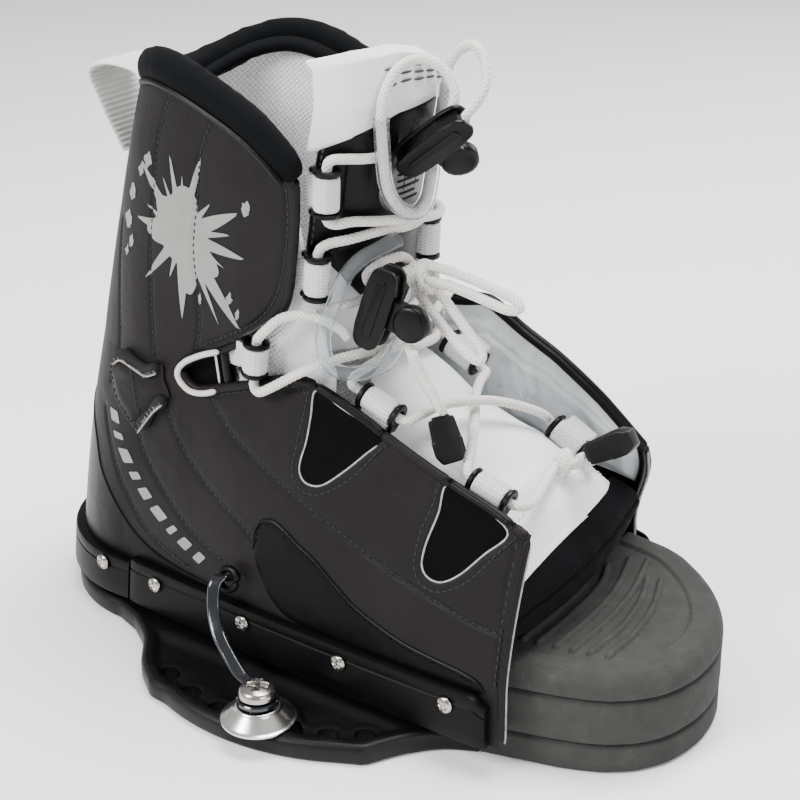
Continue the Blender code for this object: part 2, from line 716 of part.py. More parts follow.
def lace_loops():
    """Each loop is a plastic spool with end flanges, held by a doubled webbing strap."""
    half = SPOOL_LEN / 2
    profile = [(SPOOL_BORE, -half), (4.5, -half), (4.5, -half + 1.5), (2.9, -half + 1.5),
               (2.9, half - 1.5), (4.5, half - 1.5), (4.5, half), (SPOOL_BORE, half)]
    ring_r = 3.75
    mouth = math.asin(1.0 / ring_r)
    for name, centre, axis, tail_dir, tail in LACE_LOOPS:
        length = 0.8 if name == "near_ankle" else 1.0
        matrix = frame_at(centre, axis, tail_dir)
        spool = turned("spool_" + name, profile, "clip", steps=10)
        place(spool, matrix @ Matrix.Diagonal((1, 1, length, 1)))
        path = [(tail, 1.0), (ring_r + 1.5, 1.0)]
        for k in range(11):
            a = lerp(mouth, 2 * math.pi - mouth, k / 10)
            path.append((ring_r * math.cos(a), ring_r * math.sin(a)))
        path += [(ring_r + 1.5, -1.0), (tail, -1.0)]
        strap("webbing_" + name, path, 0.9, 11.0 * length, matrix, "webbing")


# ---------------------------------------------------------------- lace locks

# name, body centre, long axis, direction the thumb button faces
LOCKS = (
    ("upper_lock", (36.5, -9.5, 189), (0.76, 0.16, 0.63), (0.08, 0.68, -0.73)),
    ("lower_lock", (26, -24, 137.5), (0.28, 0.10, 0.95), (0.85, 0.09, 0.18)),
)


def lock_matrix(centre, long_axis, thumb_dir):
    """Local X is the body's length, local Y the way the button faces."""
    x = Vector(long_axis).normalized()
    y = Vector(thumb_dir)
    y = (y - x * y.dot(x)).normalized()
    z = x.cross(y)
    rot = Matrix((x, y, z)).transposed().to_4x4()
    return Matrix.Translation(Vector(centre)) @ rot


def box_outline(x0, x1, y0, y1):
    return [(x0, y0), (x1, y0), (x1, y1), (x0, y1)]


def rounded_bar(half_len, half_w, corner):
    outline = []
    for sx, sy, start in ((1, 1, 0), (-1, 1, 90), (-1, -1, 180), (1, -1, 270)):
        for k in range(4):
            a = math.radians(start + 30 * k)
            outline.append((sx * (half_len - corner) + corner * math.cos(a),
                            sy * (half_w - corner) + corner * math.sin(a)))
    return outline


def lace_locks():
    """Two cord locks: a body with a pocket, a sprung thumb button, and lace holes through both."""
    for name, centre, long_axis, thumb_dir in LOCKS:
        matrix = lock_matrix(centre, long_axis, thumb_dir)
        body = extrude_outline(name + "_body", rounded_bar(14.0, 5.2, 3.0), -3.8, 3.8, "clip",
                               bevel=0.8, segments=1)
        pocket = extrude_outline("pocket", box_outline(-5.2, 5.2, -3.9, 9.0), -2.3, 2.3, "clip")
        holes = [cutter_cylinder(x, 0.6, -6, 6, 2.0, steps=10) for x in (-2.4, 2.4)]
        place(cut(body, pocket, *holes), matrix)

        stem = extrude_outline(name + "_button", button_outline(), -2.0, 2.0, "clip")
        slots = [cutter_cylinder(x, 0.9, -6, 6, 1.9, steps=10, slot=0.6, angle=math.pi / 2)
                 for x in (-2.4, 2.4)]
        place(cut(stem, *slots), matrix)
        set_origin(stem, centre)

        coil = []
        turns = 2.5
        for k in range(21):
            a = 2 * math.pi * turns * k / 20
            coil.append((1.4 * math.cos(a), lerp(-3.5, -2.1, k / 20), 1.4 * math.sin(a)))
        spring = tube_curve(name + "_spring", coil, 0.18, "steel", 1.2)
        spring.matrix_world = Matrix.Translation(matrix.translation * MM) @ matrix.to_3x3().to_4x4()


def button_outline():
    """Flat tongue that slides in the pocket, ending in a round thumb pad."""
    outline = [(-4.8, -1.7), (4.8, -1.7)]
    pad_y = 12.0
    for k in range(13):
        a = math.radians(-34 + 248 * k / 12)
        outline.append((5.8 * math.cos(a), pad_y + 5.8 * math.sin(a)))
    return outline


# ---------------------------------------------------------------- laces, sleeves and pulls

UPPER_LACE_NEAR = (
    (21.5, -17.5, 183.5), (18.5, -21.5, 183.6), (15.8, -26, 184.2), (13, -29.8, 184.3),
    (11.9, -31, 182), (11.5, -31, 174), (11.1, -31, 166), (12.8, -28.8, 163.6),
    (16, -23.5, 163.6), (20.5, -15.5, 162.4), (24.6, -8.5, 161.8), (27, -1.5, 161),
    (26.6, 6.5, 159.6), (23.4, 14.5, 158), (18, 22.5, 156.6), (12.6, 27.6, 155.4), (10.3, 28.7, 152.4),
    (9.5, 28.6, 143), (8.9, 28.6, 134.6), (10.2, 27.4, 132.2), (13.5, 22, 133.4), (17.5, 14.5, 136.5),
    (21, 7, 140), (24.5, 1.2, 142), (30, -3.2, 141.5), (36, -6.8, 140), (42, -9.5, 137.5),
    (48, -11.8, 134), (53, -13.2, 130.5), (57.8, -14.5, 126.6), (58.6, -17, 124.2),
    (54, -17.2, 126), (47, -15.7, 130), (40, -13.4, 134), (33, -10.4, 137.6), (28.5, -8, 140))
UPPER_LACE_FAR = (
    (34.4, -5.5, 191.6), (35.6, -1, 193.2), (35.4, 4.4, 192.6), (32.6, 11.4, 189.8), (27, 17.5, 186),
    (21.5, 23, 182.6), (16.2, 27, 180.6), (13.2, 28.2, 178), (12.6, 28.2, 171), (12.1, 28.2, 164.4),
    (13.2, 25.6, 160.4), (17.6, 17.2, 158.4), (20.5, 7.2, 156.8), (21, -2, 157), (20.6, -9.5, 158.4),
    (18.4, -16.5, 158.4), (14.2, -23.4, 157.4), (10, -29, 156.6), (8.1, -31.5, 154), (7.5, -31.5, 146),
    (6.9, -31.5, 138), (8, -29.8, 135.4), (11, -26.5, 135), (15.2, -21.4, 136.2), (19, -14.5, 138),
    (22.5, -7, 140), (23.8, -3.4, 144.6), (23.8, -7, 148.6), (22.6, -12, 149.4), (20.4, -17.5, 148.2),
    (18.8, -20.6, 145.6), (19.4, -19, 142.6), (21.8, -14, 142.8),
    (25.4, -9.4, 144.6), (31, -6.8, 147), (38, -7.5, 147.8), (48, -8.2, 147.1), (58, -8.6, 145.4),
    (66, -9, 143.6), (68.4, -9.8, 141.3), (64.5, -10.6, 140.4), (55, -10.4, 142), (44, -10, 143.6),
    (34, -9.4, 143.6))
PULL_LEFT = ((42, -6.4, 201.6), (41.2, -5.4, 205.6), (38, -5.2, 210), (33, -7, 213), (28.6, -10.5, 213),
             (25.8, -15, 209.6), (25.2, -19.5, 203.5))
PULL_SLEEVED = ((25.2, -21, 197), (25.4, -20.6, 187.5), (25, -18.8, 178), (25.2, -16.6, 172),
                (26.4, -12.8, 167), (28.8, -8.4, 164.8), (30.6, -4.6, 168), (30.4, -1.4, 174.5),
                (29.4, 1.6, 181), (29.8, 3.8, 189), (31.2, 4.4, 197), (31.6, 4.8, 203.5))
PULL_RIGHT = ((32.6, 5.6, 209.5), (35.8, 6.8, 214), (40.4, 6.6, 216), (45, 5, 213.6), (48, 2.2, 208.4),
              (48.6, -0.8, 204), (47.9, -3, 201.6))
LOWER_LACE_NEAR = (
    (16.8, -28.2, 126), (14.5, -30.4, 130), (10, -33, 132.8), (4, -36.2, 134), (-1.5, -39.2, 132.6),
    (-6, -40.6, 128.6), (-10, -40, 124.8), (-12.2, -38.8, 122), (-13, -38.8, 116),
    (-13.9, -38.8, 109.2), (-13.2, -39.8, 106.4), (-10, -41.2, 105.8), (-5, -41, 108.6),
    (1.5, -39.4, 113), (6.8, -36.4, 116.2), (10.8, -31.8, 117.8), (14.6, -24.4, 118.4),
    (18.6, -14.4, 117.8), (21.4, -4, 116.2), (22, 6, 114), (20.6, 15.6, 112.4), (16.8, 22.4, 111.2),
    (14.8, 26.2, 109.6), (17, 27, 107.8), (25, 27, 104), (32.6, 27, 100.3), (35.4, 25.4, 99.6),
    (38, 18, 100.3), (42, 8.5, 99.6), (47.5, -1, 96.8), (52.5, -10, 93.8), (56, -17.4, 91.4),
    (58.6, -23, 89.6), (61.4, -25.5, 87.9), (69, -25.5, 85.5), (76.2, -25.5, 83.2), (79, -23.6, 82.2),
    (79.2, -16, 80.8), (77, -8, 80.6), (75, 0, 81), (73, 7, 81.4), (71.5, 11, 81.6))
LOWER_LACE_FAR = (
    (24, -17.4, 133), (23.4, -12.5, 130.4), (21.6, -5, 128.8), (18.6, 6, 128), (14.4, 18, 127.4),
    (8.6, 28.6, 128.6), (1, 36, 130.6), (-6, 40, 128.4), (-10.4, 40, 124.4), (-12.3, 38.8, 121),
    (-13, 38.8, 116), (-13.7, 38.8, 110), (-12.2, 40.4, 108), (-8, 41.8, 109.6), (-2, 42.4, 114),
    (4, 42.6, 118.4), (9.6, 41, 121.8), (14.6, 35.4, 123), (17, 27, 121.8), (18.6, 18, 120.6),
    (20.4, 8.6, 120.6), (22.2, -3, 121), (22.6, -11.5, 119.8), (21.8, -18, 117), (19.8, -23, 115),
    (17.6, -26, 112.8), (17.2, -27.4, 110.2), (19.6, -26.5, 108.2), (28, -26.5, 105),
    (36.6, -26.5, 101.9), (39.8, -21.6, 102.8), (42, -12, 103.2), (46.5, -3, 102.4), (50, 6, 100), (54, 15, 96),
    (57.6, 23, 91.4), (58.8, 28, 87.4), (60.6, 28.3, 85.4), (67.1, 28.1, 81.7), (74.4, 28.1, 77.7),
    (77.2, 26.4, 77.2), (77.6, 21.4, 79), (76.6, 17.2, 80.8), (78, 15.2, 82.6), (80.4, 15.4, 84.2))
LACE_TAILS = (
    (37.6, -24.6, 127), (38.2, -22.8, 121), (39.8, -21, 115), (42.6, -19.6, 109.8),
    (45, -19.4, 106.8), (47.8, -21, 106), (48.2, -23.4, 108.4), (45.6, -24.2, 113.5),
    (43, -25.2, 119), (41.6, -27, 124), (41, -28, 127.4))
LOWER_SLEEVE = (
    (23.6, -9.6, 155.4), (21, -15.6, 153.6), (17.6, -22, 151), (15.2, -27.6, 146), (15, -33.2, 139),
    (13.8, -37, 131), (13.8, -37.2, 123.5), (15.4, -34.4, 117.6), (18.6, -30, 115.2),
    (22.8, -26, 115.4), (26, -20.6, 117.4), (27, -15.6, 121.6))


def hose(name, route, radius, bore, mat_name, step, sides=10):
    """Hollow sleeve along a smooth route, open at both ends."""
    points = resample(catmull(route, 8), step)
    bm = bmesh.new()
    rings = []
    side = Vector((0, 0, 1))
    for i, p in enumerate(points):
        along = (points[min(i + 1, len(points) - 1)] - points[max(i - 1, 0)]).normalized()
        side = (side - along * side.dot(along)).normalized()
        up = along.cross(side)
        ring = []
        for r in (radius, bore):
            angles = (2 * math.pi * k / sides for k in range(sides))
            ring.append([bm.verts.new(p + (side * math.cos(a) + up * math.sin(a)) * r) for a in angles])
        rings.append(ring)
    for k in range(sides):
        n = (k + 1) % sides
        for (a_out, a_in), (b_out, b_in) in zip(rings, rings[1:]):
            bm.faces.new((a_out[k], a_out[n], b_out[n], b_out[k]))
            bm.faces.new((a_in[k], b_in[k], b_in[n], a_in[n]))
        first_out, first_in = rings[0]
        last_out, last_in = rings[-1]
        bm.faces.new((first_out[k], first_in[k], first_in[n], first_out[n]))
        bm.faces.new((last_out[k], last_out[n], last_in[n], last_in[k]))
    return finish(name, bm, mat_name)


def laces():
    """Upper and lower laces, the upper lace's pull loop with its clear sleeve, and the tails."""
    step = 5.0
    tube_curve("upper_lace_near", UPPER_LACE_NEAR, LACE_R, "lace", step)
    tube_curve("upper_lace_far", UPPER_LACE_FAR, LACE_R, "lace", step)
    tube_curve("upper_pull_loop", PULL_LEFT + PULL_SLEEVED + PULL_RIGHT, LACE_R, "lace", 3.6)
    tube_curve("lower_lace_near", LOWER_LACE_NEAR, LACE_R, "lace", step)
    tube_curve("lower_lace_far", LOWER_LACE_FAR, LACE_R, "lace", step)
    tube_curve("lace_tails", LACE_TAILS, LACE_R, "lace", step)
    hose("upper_sleeve", PULL_SLEEVED, TUBE_R, TUBE_BORE, "tube", 3.6, sides=8)
    hose("lower_sleeve", LOWER_SLEEVE, TUBE_R, TUBE_BORE, "tube", 5.0, sides=8)


def lace_pulls():
    """Moulded pulls: one on the lower lace's tails and one on its free end."""
    for name, start, end, half_w in (
            ("tail_pull", (47.4, -21.6, 103.6), (53.5, -23.5, 90.5), 5.0),
            ("end_pull", (81.6, 15.4, 85.4), (96.0, 18.0, 94.0), 4.4)):
        a = Vector(start)
        b = Vector(end)
        length = (b - a).length
        outline = [(-half_w * 0.72, 0.0), (half_w * 0.72, 0.0), (half_w, length * 0.3)]
        for k in range(7):
            angle = math.pi * k / 6
            outline.append((half_w * math.cos(angle), length - half_w + half_w * math.sin(angle)))
        outline.append((-half_w, length * 0.3))
        pull = extrude_outline(name, outline, -3.3, 3.3, "clip", bevel=1.2, segments=1)
        y_axis = (b - a).normalized()
        facing = Vector((0.52, -0.75, 0.41))
        z_axis = (facing - y_axis * facing.dot(y_axis)).normalized()
        x_axis = y_axis.cross(z_axis)
        rot = Matrix((x_axis, y_axis, z_axis)).transposed().to_4x4()
        place(pull, Matrix.Translation(a) @ rot)


# ---------------------------------------------------------------- mounting hardware

WASHER_R = 12.6
SCREW_HEAD_Z = 16.2             # underside of the loose screw's head
TETHER_Z = 14.2


def mounting_hardware():
    """On each wing a dished washer and a loose pan-head screw that drops through its hole."""
    dish = [(3.6, 1.2), (WASHER_R - 2.2, 0.0), (WASHER_R, 0.0), (WASHER_R, 1.0), (9.6, 3.6),
            (7.2, 5.6), (6.4, 5.6), (5.4, 3.6), (3.6, 3.0)]
    head = [(0, -15.2), (2.4, -15.2), (3.0, -14.6), (3.0, 0.0), (6.3, 0.0), (6.3, 2.4), (5.6, 3.9),
            (3.0, 4.6), (0, 4.6)]
    for side, label in ((-1, "near"), (1, "far")):
        x, y = screw_xy(side)
        washer = turned("mount_washer_" + label, dish, "washer", steps=24)
        place(washer, Matrix.Translation((x, y, PLATE_T + GAP)))
        set_origin(washer, (x, y, PLATE_T + GAP))
        screw = turned("mount_screw_" + label, head, "steel", steps=16)
        place(screw, Matrix.Translation((x, y, SCREW_HEAD_Z)))
        set_origin(screw, (x, y, SCREW_HEAD_Z))


def screw_tether():
    """Flexible tie that keeps the near screw with the boot: an eyelet, a band and a looped end."""
    x, y = screw_xy(-1)
    route = [(-19, -49.6, 37.0), (-20.5, -52.5, 39.0), (-21, -56.0, 37.0), (-19.5, -59.0, 30.0),
             (-15, -62.5, 24.0), (-8, -66.0, 20.0), (0, -69.3, 16.6), (x - 3.5, y + 4.5, TETHER_Z + 1.1)]
    points = catmull(route, 3)
    outer = [[], []]
    inner = [[], []]
    for i, p in enumerate(points):
        along = (points[min(i + 1, len(points) - 1)] - points[max(i - 1, 0)]).normalized()
        across = Vector((0.92, 0.39, 0.0))
        across = (across - along * across.dot(along)).normalized()
        normal = along.cross(across)
        for row, half in ((0, -2.1), (1, 2.1)):
            outer[row].append(p + across * half + normal * 0.6)
            inner[row].append(p + across * half - normal * 0.6)
    sheet_solid("screw_tether", outer, inner, "strap")


def build():
    clear_scene()
    base_plate()
    footbed()
    rails()
    rail_screws()
    lower_shells()
    cuffs()
    liner()
    collar()
    vamp()
    toe_rim()
    tongue_parts()
    heel_loop()
    lace_loops()
    lace_locks()
    laces()
    lace_pulls()
    mounting_hardware()
    screw_tether()


build()
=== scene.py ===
import json
import math

import bmesh
import bpy
import numpy as np
from mathutils import Matrix, Vector, geometry, noise
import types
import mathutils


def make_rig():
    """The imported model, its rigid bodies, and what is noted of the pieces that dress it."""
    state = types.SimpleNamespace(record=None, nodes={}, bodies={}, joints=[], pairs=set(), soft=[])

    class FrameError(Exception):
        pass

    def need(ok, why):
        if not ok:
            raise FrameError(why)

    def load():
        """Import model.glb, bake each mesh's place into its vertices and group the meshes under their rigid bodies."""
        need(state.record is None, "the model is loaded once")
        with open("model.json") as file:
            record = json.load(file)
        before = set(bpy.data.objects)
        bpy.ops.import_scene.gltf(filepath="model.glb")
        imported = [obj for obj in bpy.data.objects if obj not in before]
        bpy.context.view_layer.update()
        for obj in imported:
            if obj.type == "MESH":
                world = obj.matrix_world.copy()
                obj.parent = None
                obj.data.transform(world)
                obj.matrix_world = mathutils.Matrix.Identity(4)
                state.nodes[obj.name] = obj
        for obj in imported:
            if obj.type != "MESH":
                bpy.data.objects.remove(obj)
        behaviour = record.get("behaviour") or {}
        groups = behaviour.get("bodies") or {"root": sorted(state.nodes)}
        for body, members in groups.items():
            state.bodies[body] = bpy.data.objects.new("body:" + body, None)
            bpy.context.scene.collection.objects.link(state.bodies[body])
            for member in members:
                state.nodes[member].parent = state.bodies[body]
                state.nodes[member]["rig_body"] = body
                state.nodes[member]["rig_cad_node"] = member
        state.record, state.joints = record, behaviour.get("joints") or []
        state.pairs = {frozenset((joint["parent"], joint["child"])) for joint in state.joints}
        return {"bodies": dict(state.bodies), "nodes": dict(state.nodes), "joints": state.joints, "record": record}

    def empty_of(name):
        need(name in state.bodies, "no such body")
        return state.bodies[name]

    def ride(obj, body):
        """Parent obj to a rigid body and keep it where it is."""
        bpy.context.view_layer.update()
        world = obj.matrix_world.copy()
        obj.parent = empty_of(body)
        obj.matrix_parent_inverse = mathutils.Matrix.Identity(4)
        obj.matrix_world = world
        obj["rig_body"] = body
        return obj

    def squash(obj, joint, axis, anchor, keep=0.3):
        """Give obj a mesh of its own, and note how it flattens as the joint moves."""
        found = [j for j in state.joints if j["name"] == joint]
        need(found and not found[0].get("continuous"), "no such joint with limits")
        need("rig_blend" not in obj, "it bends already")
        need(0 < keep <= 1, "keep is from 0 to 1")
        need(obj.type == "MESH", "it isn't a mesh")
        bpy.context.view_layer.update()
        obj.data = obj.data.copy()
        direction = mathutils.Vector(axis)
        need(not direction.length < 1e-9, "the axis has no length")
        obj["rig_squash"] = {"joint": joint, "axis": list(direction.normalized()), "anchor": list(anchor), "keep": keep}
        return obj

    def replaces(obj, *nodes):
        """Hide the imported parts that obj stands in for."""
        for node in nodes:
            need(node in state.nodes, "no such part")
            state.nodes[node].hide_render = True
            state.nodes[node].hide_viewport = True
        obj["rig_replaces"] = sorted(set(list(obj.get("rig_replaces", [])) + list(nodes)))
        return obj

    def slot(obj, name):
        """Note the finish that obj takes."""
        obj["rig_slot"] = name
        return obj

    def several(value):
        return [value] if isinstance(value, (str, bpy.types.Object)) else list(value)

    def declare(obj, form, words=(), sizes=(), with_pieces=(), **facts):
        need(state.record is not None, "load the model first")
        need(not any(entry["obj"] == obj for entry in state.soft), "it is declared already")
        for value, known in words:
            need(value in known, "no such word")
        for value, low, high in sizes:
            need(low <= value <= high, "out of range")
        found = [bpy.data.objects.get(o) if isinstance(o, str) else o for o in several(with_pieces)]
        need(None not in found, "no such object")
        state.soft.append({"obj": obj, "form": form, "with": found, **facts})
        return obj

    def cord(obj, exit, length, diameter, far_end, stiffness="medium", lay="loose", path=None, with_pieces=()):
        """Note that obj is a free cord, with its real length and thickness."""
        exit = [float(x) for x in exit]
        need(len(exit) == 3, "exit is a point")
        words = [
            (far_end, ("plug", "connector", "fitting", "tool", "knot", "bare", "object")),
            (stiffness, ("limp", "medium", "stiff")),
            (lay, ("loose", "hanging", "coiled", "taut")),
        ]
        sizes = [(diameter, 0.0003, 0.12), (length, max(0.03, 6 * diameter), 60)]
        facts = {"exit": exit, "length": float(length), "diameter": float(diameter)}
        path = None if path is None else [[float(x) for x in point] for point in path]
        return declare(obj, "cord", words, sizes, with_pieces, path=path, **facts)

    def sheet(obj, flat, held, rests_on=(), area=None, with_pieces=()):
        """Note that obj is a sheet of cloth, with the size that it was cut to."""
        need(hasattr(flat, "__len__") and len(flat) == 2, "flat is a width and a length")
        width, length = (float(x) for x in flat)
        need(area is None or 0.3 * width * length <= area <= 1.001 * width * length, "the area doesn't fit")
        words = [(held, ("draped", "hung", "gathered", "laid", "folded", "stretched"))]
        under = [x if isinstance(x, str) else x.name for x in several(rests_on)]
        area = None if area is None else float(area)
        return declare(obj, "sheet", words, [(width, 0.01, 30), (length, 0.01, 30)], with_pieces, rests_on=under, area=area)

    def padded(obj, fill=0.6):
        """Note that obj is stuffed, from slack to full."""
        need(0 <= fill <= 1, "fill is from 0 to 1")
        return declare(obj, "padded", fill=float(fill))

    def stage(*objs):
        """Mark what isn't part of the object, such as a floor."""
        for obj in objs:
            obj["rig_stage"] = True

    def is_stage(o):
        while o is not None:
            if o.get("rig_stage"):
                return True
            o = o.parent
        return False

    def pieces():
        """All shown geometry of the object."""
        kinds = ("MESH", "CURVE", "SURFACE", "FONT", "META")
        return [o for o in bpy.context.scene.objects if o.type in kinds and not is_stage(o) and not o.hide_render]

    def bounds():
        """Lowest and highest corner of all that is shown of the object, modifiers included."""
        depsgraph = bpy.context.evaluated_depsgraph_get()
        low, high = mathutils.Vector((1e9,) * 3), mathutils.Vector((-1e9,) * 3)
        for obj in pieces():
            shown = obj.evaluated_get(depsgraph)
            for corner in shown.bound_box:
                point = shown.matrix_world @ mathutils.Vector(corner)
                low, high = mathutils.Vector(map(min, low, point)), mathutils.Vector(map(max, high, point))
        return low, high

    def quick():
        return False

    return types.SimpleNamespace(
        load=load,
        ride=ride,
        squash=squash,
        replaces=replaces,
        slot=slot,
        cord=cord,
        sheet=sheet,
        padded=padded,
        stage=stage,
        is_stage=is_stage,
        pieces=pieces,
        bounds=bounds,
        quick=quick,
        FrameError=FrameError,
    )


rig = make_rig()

for leftover in list(bpy.data.objects):
    bpy.data.objects.remove(leftover, do_unlink=True)

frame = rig.load()
CAD_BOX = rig.bounds()

MM = 0.001
NEAR = -1
FAR = 1
SIDES = ((NEAR, "near"), (FAR, "far"))
RNG = np.random.RandomState(7)


# ---------------------------------------------------------------- small maths (millimetres)

def smooth(t):
    t = np.clip(t, 0.0, 1.0)
    return t * t * (3.0 - 2.0 * t)


def lerp(a, b, t):
    return a + (b - a) * t


def ramp(x, pairs):
    return np.interp(x, [p[0] for p in pairs], [p[1] for p in pairs])


def unit(v):
    v = np.asarray(v, float)
    return v / np.maximum(np.linalg.norm(v, axis=-1, keepdims=True), 1e-9)


def catmull(points, per_span, closed=False):
    """Points along a smooth curve through the given ones."""
    pts = np.array(points, float)
    n = len(pts)
    out = []
    for i in range(n if closed else n - 1):
        if closed:
            p0, p1, p2, p3 = (pts[(i + k - 1) % n] for k in range(4))
        else:
            p1, p2 = pts[i], pts[i + 1]
            p0 = pts[i - 1] if i else 2 * p1 - p2
            p3 = pts[i + 2] if i + 2 < n else 2 * p2 - p1
        for k in range(per_span):
            t = k / per_span
            out.append(0.5 * (2 * p1 + (p2 - p0) * t + (2 * p0 - 5 * p1 + 4 * p2 - p3) * t * t
                              + (3 * p1 - p0 - 3 * p2 + p3) * t ** 3))
    if not closed:
        out.append(pts[-1])
    return np.array(out)


def resample(points, step):
    """Evenly spaced points along a line, both ends kept."""
    d = np.linalg.norm(np.diff(points, axis=0), axis=1)
    s = np.concatenate([[0], np.cumsum(d)])
    count = max(2, int(round(s[-1] / step)) + 1)
    at = np.linspace(0, s[-1], count)
    return np.stack([np.interp(at, s, points[:, k]) for k in range(points.shape[1])], 1)


def curve(points, step, per_span=10, closed=False):
    """Evenly spaced points on a smooth curve through the given ones."""
    return resample(catmull(points, per_span, closed), step)


def left_of(line):
    """Directions to the left of an open 2-D line."""
    along = unit(np.gradient(line, axis=0))
    return np.stack([-along[:, 1], along[:, 0]], 1)


def left_of_ring(ring):
    """Directions to the left of a closed 2-D ring."""
    along = unit(unit(ring - np.roll(ring, 1, axis=0)) + unit(np.roll(ring, -1, axis=0) - ring))
    return np.stack([-along[:, 1], along[:, 0]], 1)


def rise(distance, reach, least):
    """Rounded rise from an edge: nearly nothing at the edge, 1 from reach inward."""
    return np.sqrt(np.clip(distance / reach, least, 1.0))


def tape_edge(w, power, least):
    """Thickness across a tape, w from -1 to 1, thinning to its rounded edges."""
    return np.sqrt(np.clip(1 - w ** power, least, 1))


def bell(d, width):
    return np.exp(-(d / width) ** 2)


def length_of(points):
    return float(np.linalg.norm(np.diff(points, axis=0), axis=1).sum())


def noise_at(points, size, seed=0.0):
    """Smooth noise from -1 to 1 whose features are about size millimetres."""
    return np.array([noise.noise(Vector((p[0] / size + seed, p[1] / size, p[2] / size)))
                     for p in np.asarray(points).reshape(-1, 3)]).reshape(np.shape(points)[:-1])


def line_distance(points, line):
    """Distance of 2-D points to a polyline."""
    best = np.full(len(points), 1e9)
    for a, b in zip(line[:-1], line[1:]):
        ab = b - a
        t = np.clip(((points - a) @ ab) / max(ab @ ab, 1e-9), 0, 1)
        best = np.minimum(best, np.linalg.norm(points - (a + t[:, None] * ab), axis=1))
    return best


def inside(points, outline):
    """Even-odd test of 2-D points against a closed outline."""
    x, y = points[:, 0], points[:, 1]
    hit = np.zeros(len(points), bool)
    for a, b in zip(outline, np.roll(outline, -1, axis=0)):
        crosses = (a[1] > y) != (b[1] > y)
        with np.errstate(divide="ignore", invalid="ignore"):
            at = a[0] + (y - a[1]) / (b[1] - a[1]) * (b[0] - a[0])
        hit ^= crosses & (x < at)
    return hit


def outline_distance(points, outline):
    """Signed distance to a closed outline, negative inside."""
    d = line_distance(points, np.vstack([outline, outline[:1]]))
    return np.where(inside(points, outline), -d, d)


# ---------------------------------------------------------------- mesh builders

def make(name, verts, faces, mats, body="boot", nodes=(), slot=None, uv=None, mat_index=None,
         sharp=40.0, wrap_uv=False):
    """Mesh piece from millimetre points, riding on a CAD body and standing for CAD nodes."""
    mesh = bpy.data.meshes.new(name)
    mesh.from_pydata((np.asarray(verts, float) * MM).tolist(), [], [list(map(int, f)) for f in faces])
    for m in mats if isinstance(mats, (list, tuple)) else [mats]:
        mesh.materials.append(m)
    if mat_index is not None:
        mesh.polygons.foreach_set("material_index", np.asarray(mat_index, np.int32))
    if uv is not None:
        layer = mesh.uv_layers.new(name="UVMap")
        loop_vert = np.zeros(len(mesh.loops), np.int32)
        mesh.loops.foreach_get("vertex_index", loop_vert)
        at = np.asarray(uv, np.float32)[loop_vert]
        total = np.zeros(len(mesh.polygons), np.int32)
        first = np.zeros(len(mesh.polygons), np.int32)
        mesh.polygons.foreach_get("loop_total", total)
        mesh.polygons.foreach_get("loop_start", first)
        if wrap_uv:
            quads = first[total == 4][:, None] + np.arange(4)
            v = at[quads, 1]
            jump = (v.max(1) - v.min(1)) > math.pi
            v[jump] = np.where(v[jump] < math.pi, v[jump] + 2 * math.pi, v[jump])
            at[quads, 1] = v
        layer.data.foreach_set("uv", at.ravel())
    mesh.validate()
    bm = bmesh.new()
    bm.from_mesh(mesh)
    bmesh.ops.recalc_face_normals(bm, faces=bm.faces)
    bm.to_mesh(mesh)
    bm.free()
    mesh.shade_smooth()
    mesh.set_sharp_from_angle(angle=math.radians(sharp))
    obj = bpy.data.objects.new(name, mesh)
    bpy.context.scene.collection.objects.link(obj)
    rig.ride(obj, body)
    if nodes:
        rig.replaces(obj, *nodes)
    if slot:
        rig.slot(obj, slot)
    return obj


class Build:
    """Collects several closed or open shells into one mesh."""

    def __init__(self):
        self.v = []
        self.f = []
        self.m = []
        self.uv = []
        self.n = 0

    def add(self, verts, faces, mat=0, uv=None):
        verts = np.asarray(verts, float).reshape(-1, 3)
        self.v.append(verts)
        self.f += [[i + self.n for i in f] for f in faces]
        self.m += [mat] * len(faces)
        self.uv.append(np.zeros((len(verts), 2)) if uv is None else np.asarray(uv, float).reshape(-1, 2))
        self.n += len(verts)
        return self

    def tube(self, points, radius, mat=0, **kw):
        verts, faces, uv = tube(points, radius, **kw)
        return self.add(verts, faces, mat, uv)

    def place(self, matrix, shape):
        return self.add(moved(shape[0], matrix), shape[1])

    def make(self, name, mats, **kw):
        return make(name, np.vstack(self.v), self.f, mats, uv=np.vstack(self.uv), mat_index=self.m, **kw)


def end_caps(rows, cols):
    """Faces over the first and last rings of a wrapped grid."""
    return [list(range(cols))[::-1], [(rows - 1) * cols + k for k in range(cols)]]


def grid_faces(rows, cols, wrap=False, base=0):
    out = []
    for i in range(rows - 1):
        for j in range(cols if wrap else cols - 1):
            k = (j + 1) % cols
            out.append([base + i * cols + j, base + i * cols + k, base + (i + 1) * cols + k,
                        base + (i + 1) * cols + j])
    return out


def shell(outer, inner):
    """Closed skin between two matching grids of points."""
    rows, cols = outer.shape[:2]
    faces = grid_faces(rows, cols)
    base = rows * cols
    faces += [f[::-1] for f in grid_faces(rows, cols, base=base)]
    rim = [i * cols for i in range(rows)] + [(rows - 1) * cols + j for j in range(1, cols)]
    rim += [i * cols + cols - 1 for i in range(rows - 2, -1, -1)] + [j for j in range(cols - 2, 0, -1)]
    for a, b in zip(rim, rim[1:] + rim[:1]):
        faces.append([a, b, b + base, a + base])
    return np.vstack([outer.reshape(-1, 3), inner.reshape(-1, 3)]), faces


def frames_along(points, hint=(0.0, 0.0, 1.0)):
    """Tangent, side and up at each point, carried along without twist."""
    tangent = unit(np.gradient(points, axis=0))
    side = np.array(hint, float)
    sides = []
    for t in tangent:
        side = side - t * (side @ t)
        side = side / max(np.linalg.norm(side), 1e-9)
        sides.append(side)
    sides = np.array(sides)
    return tangent, sides, np.cross(tangent, sides)


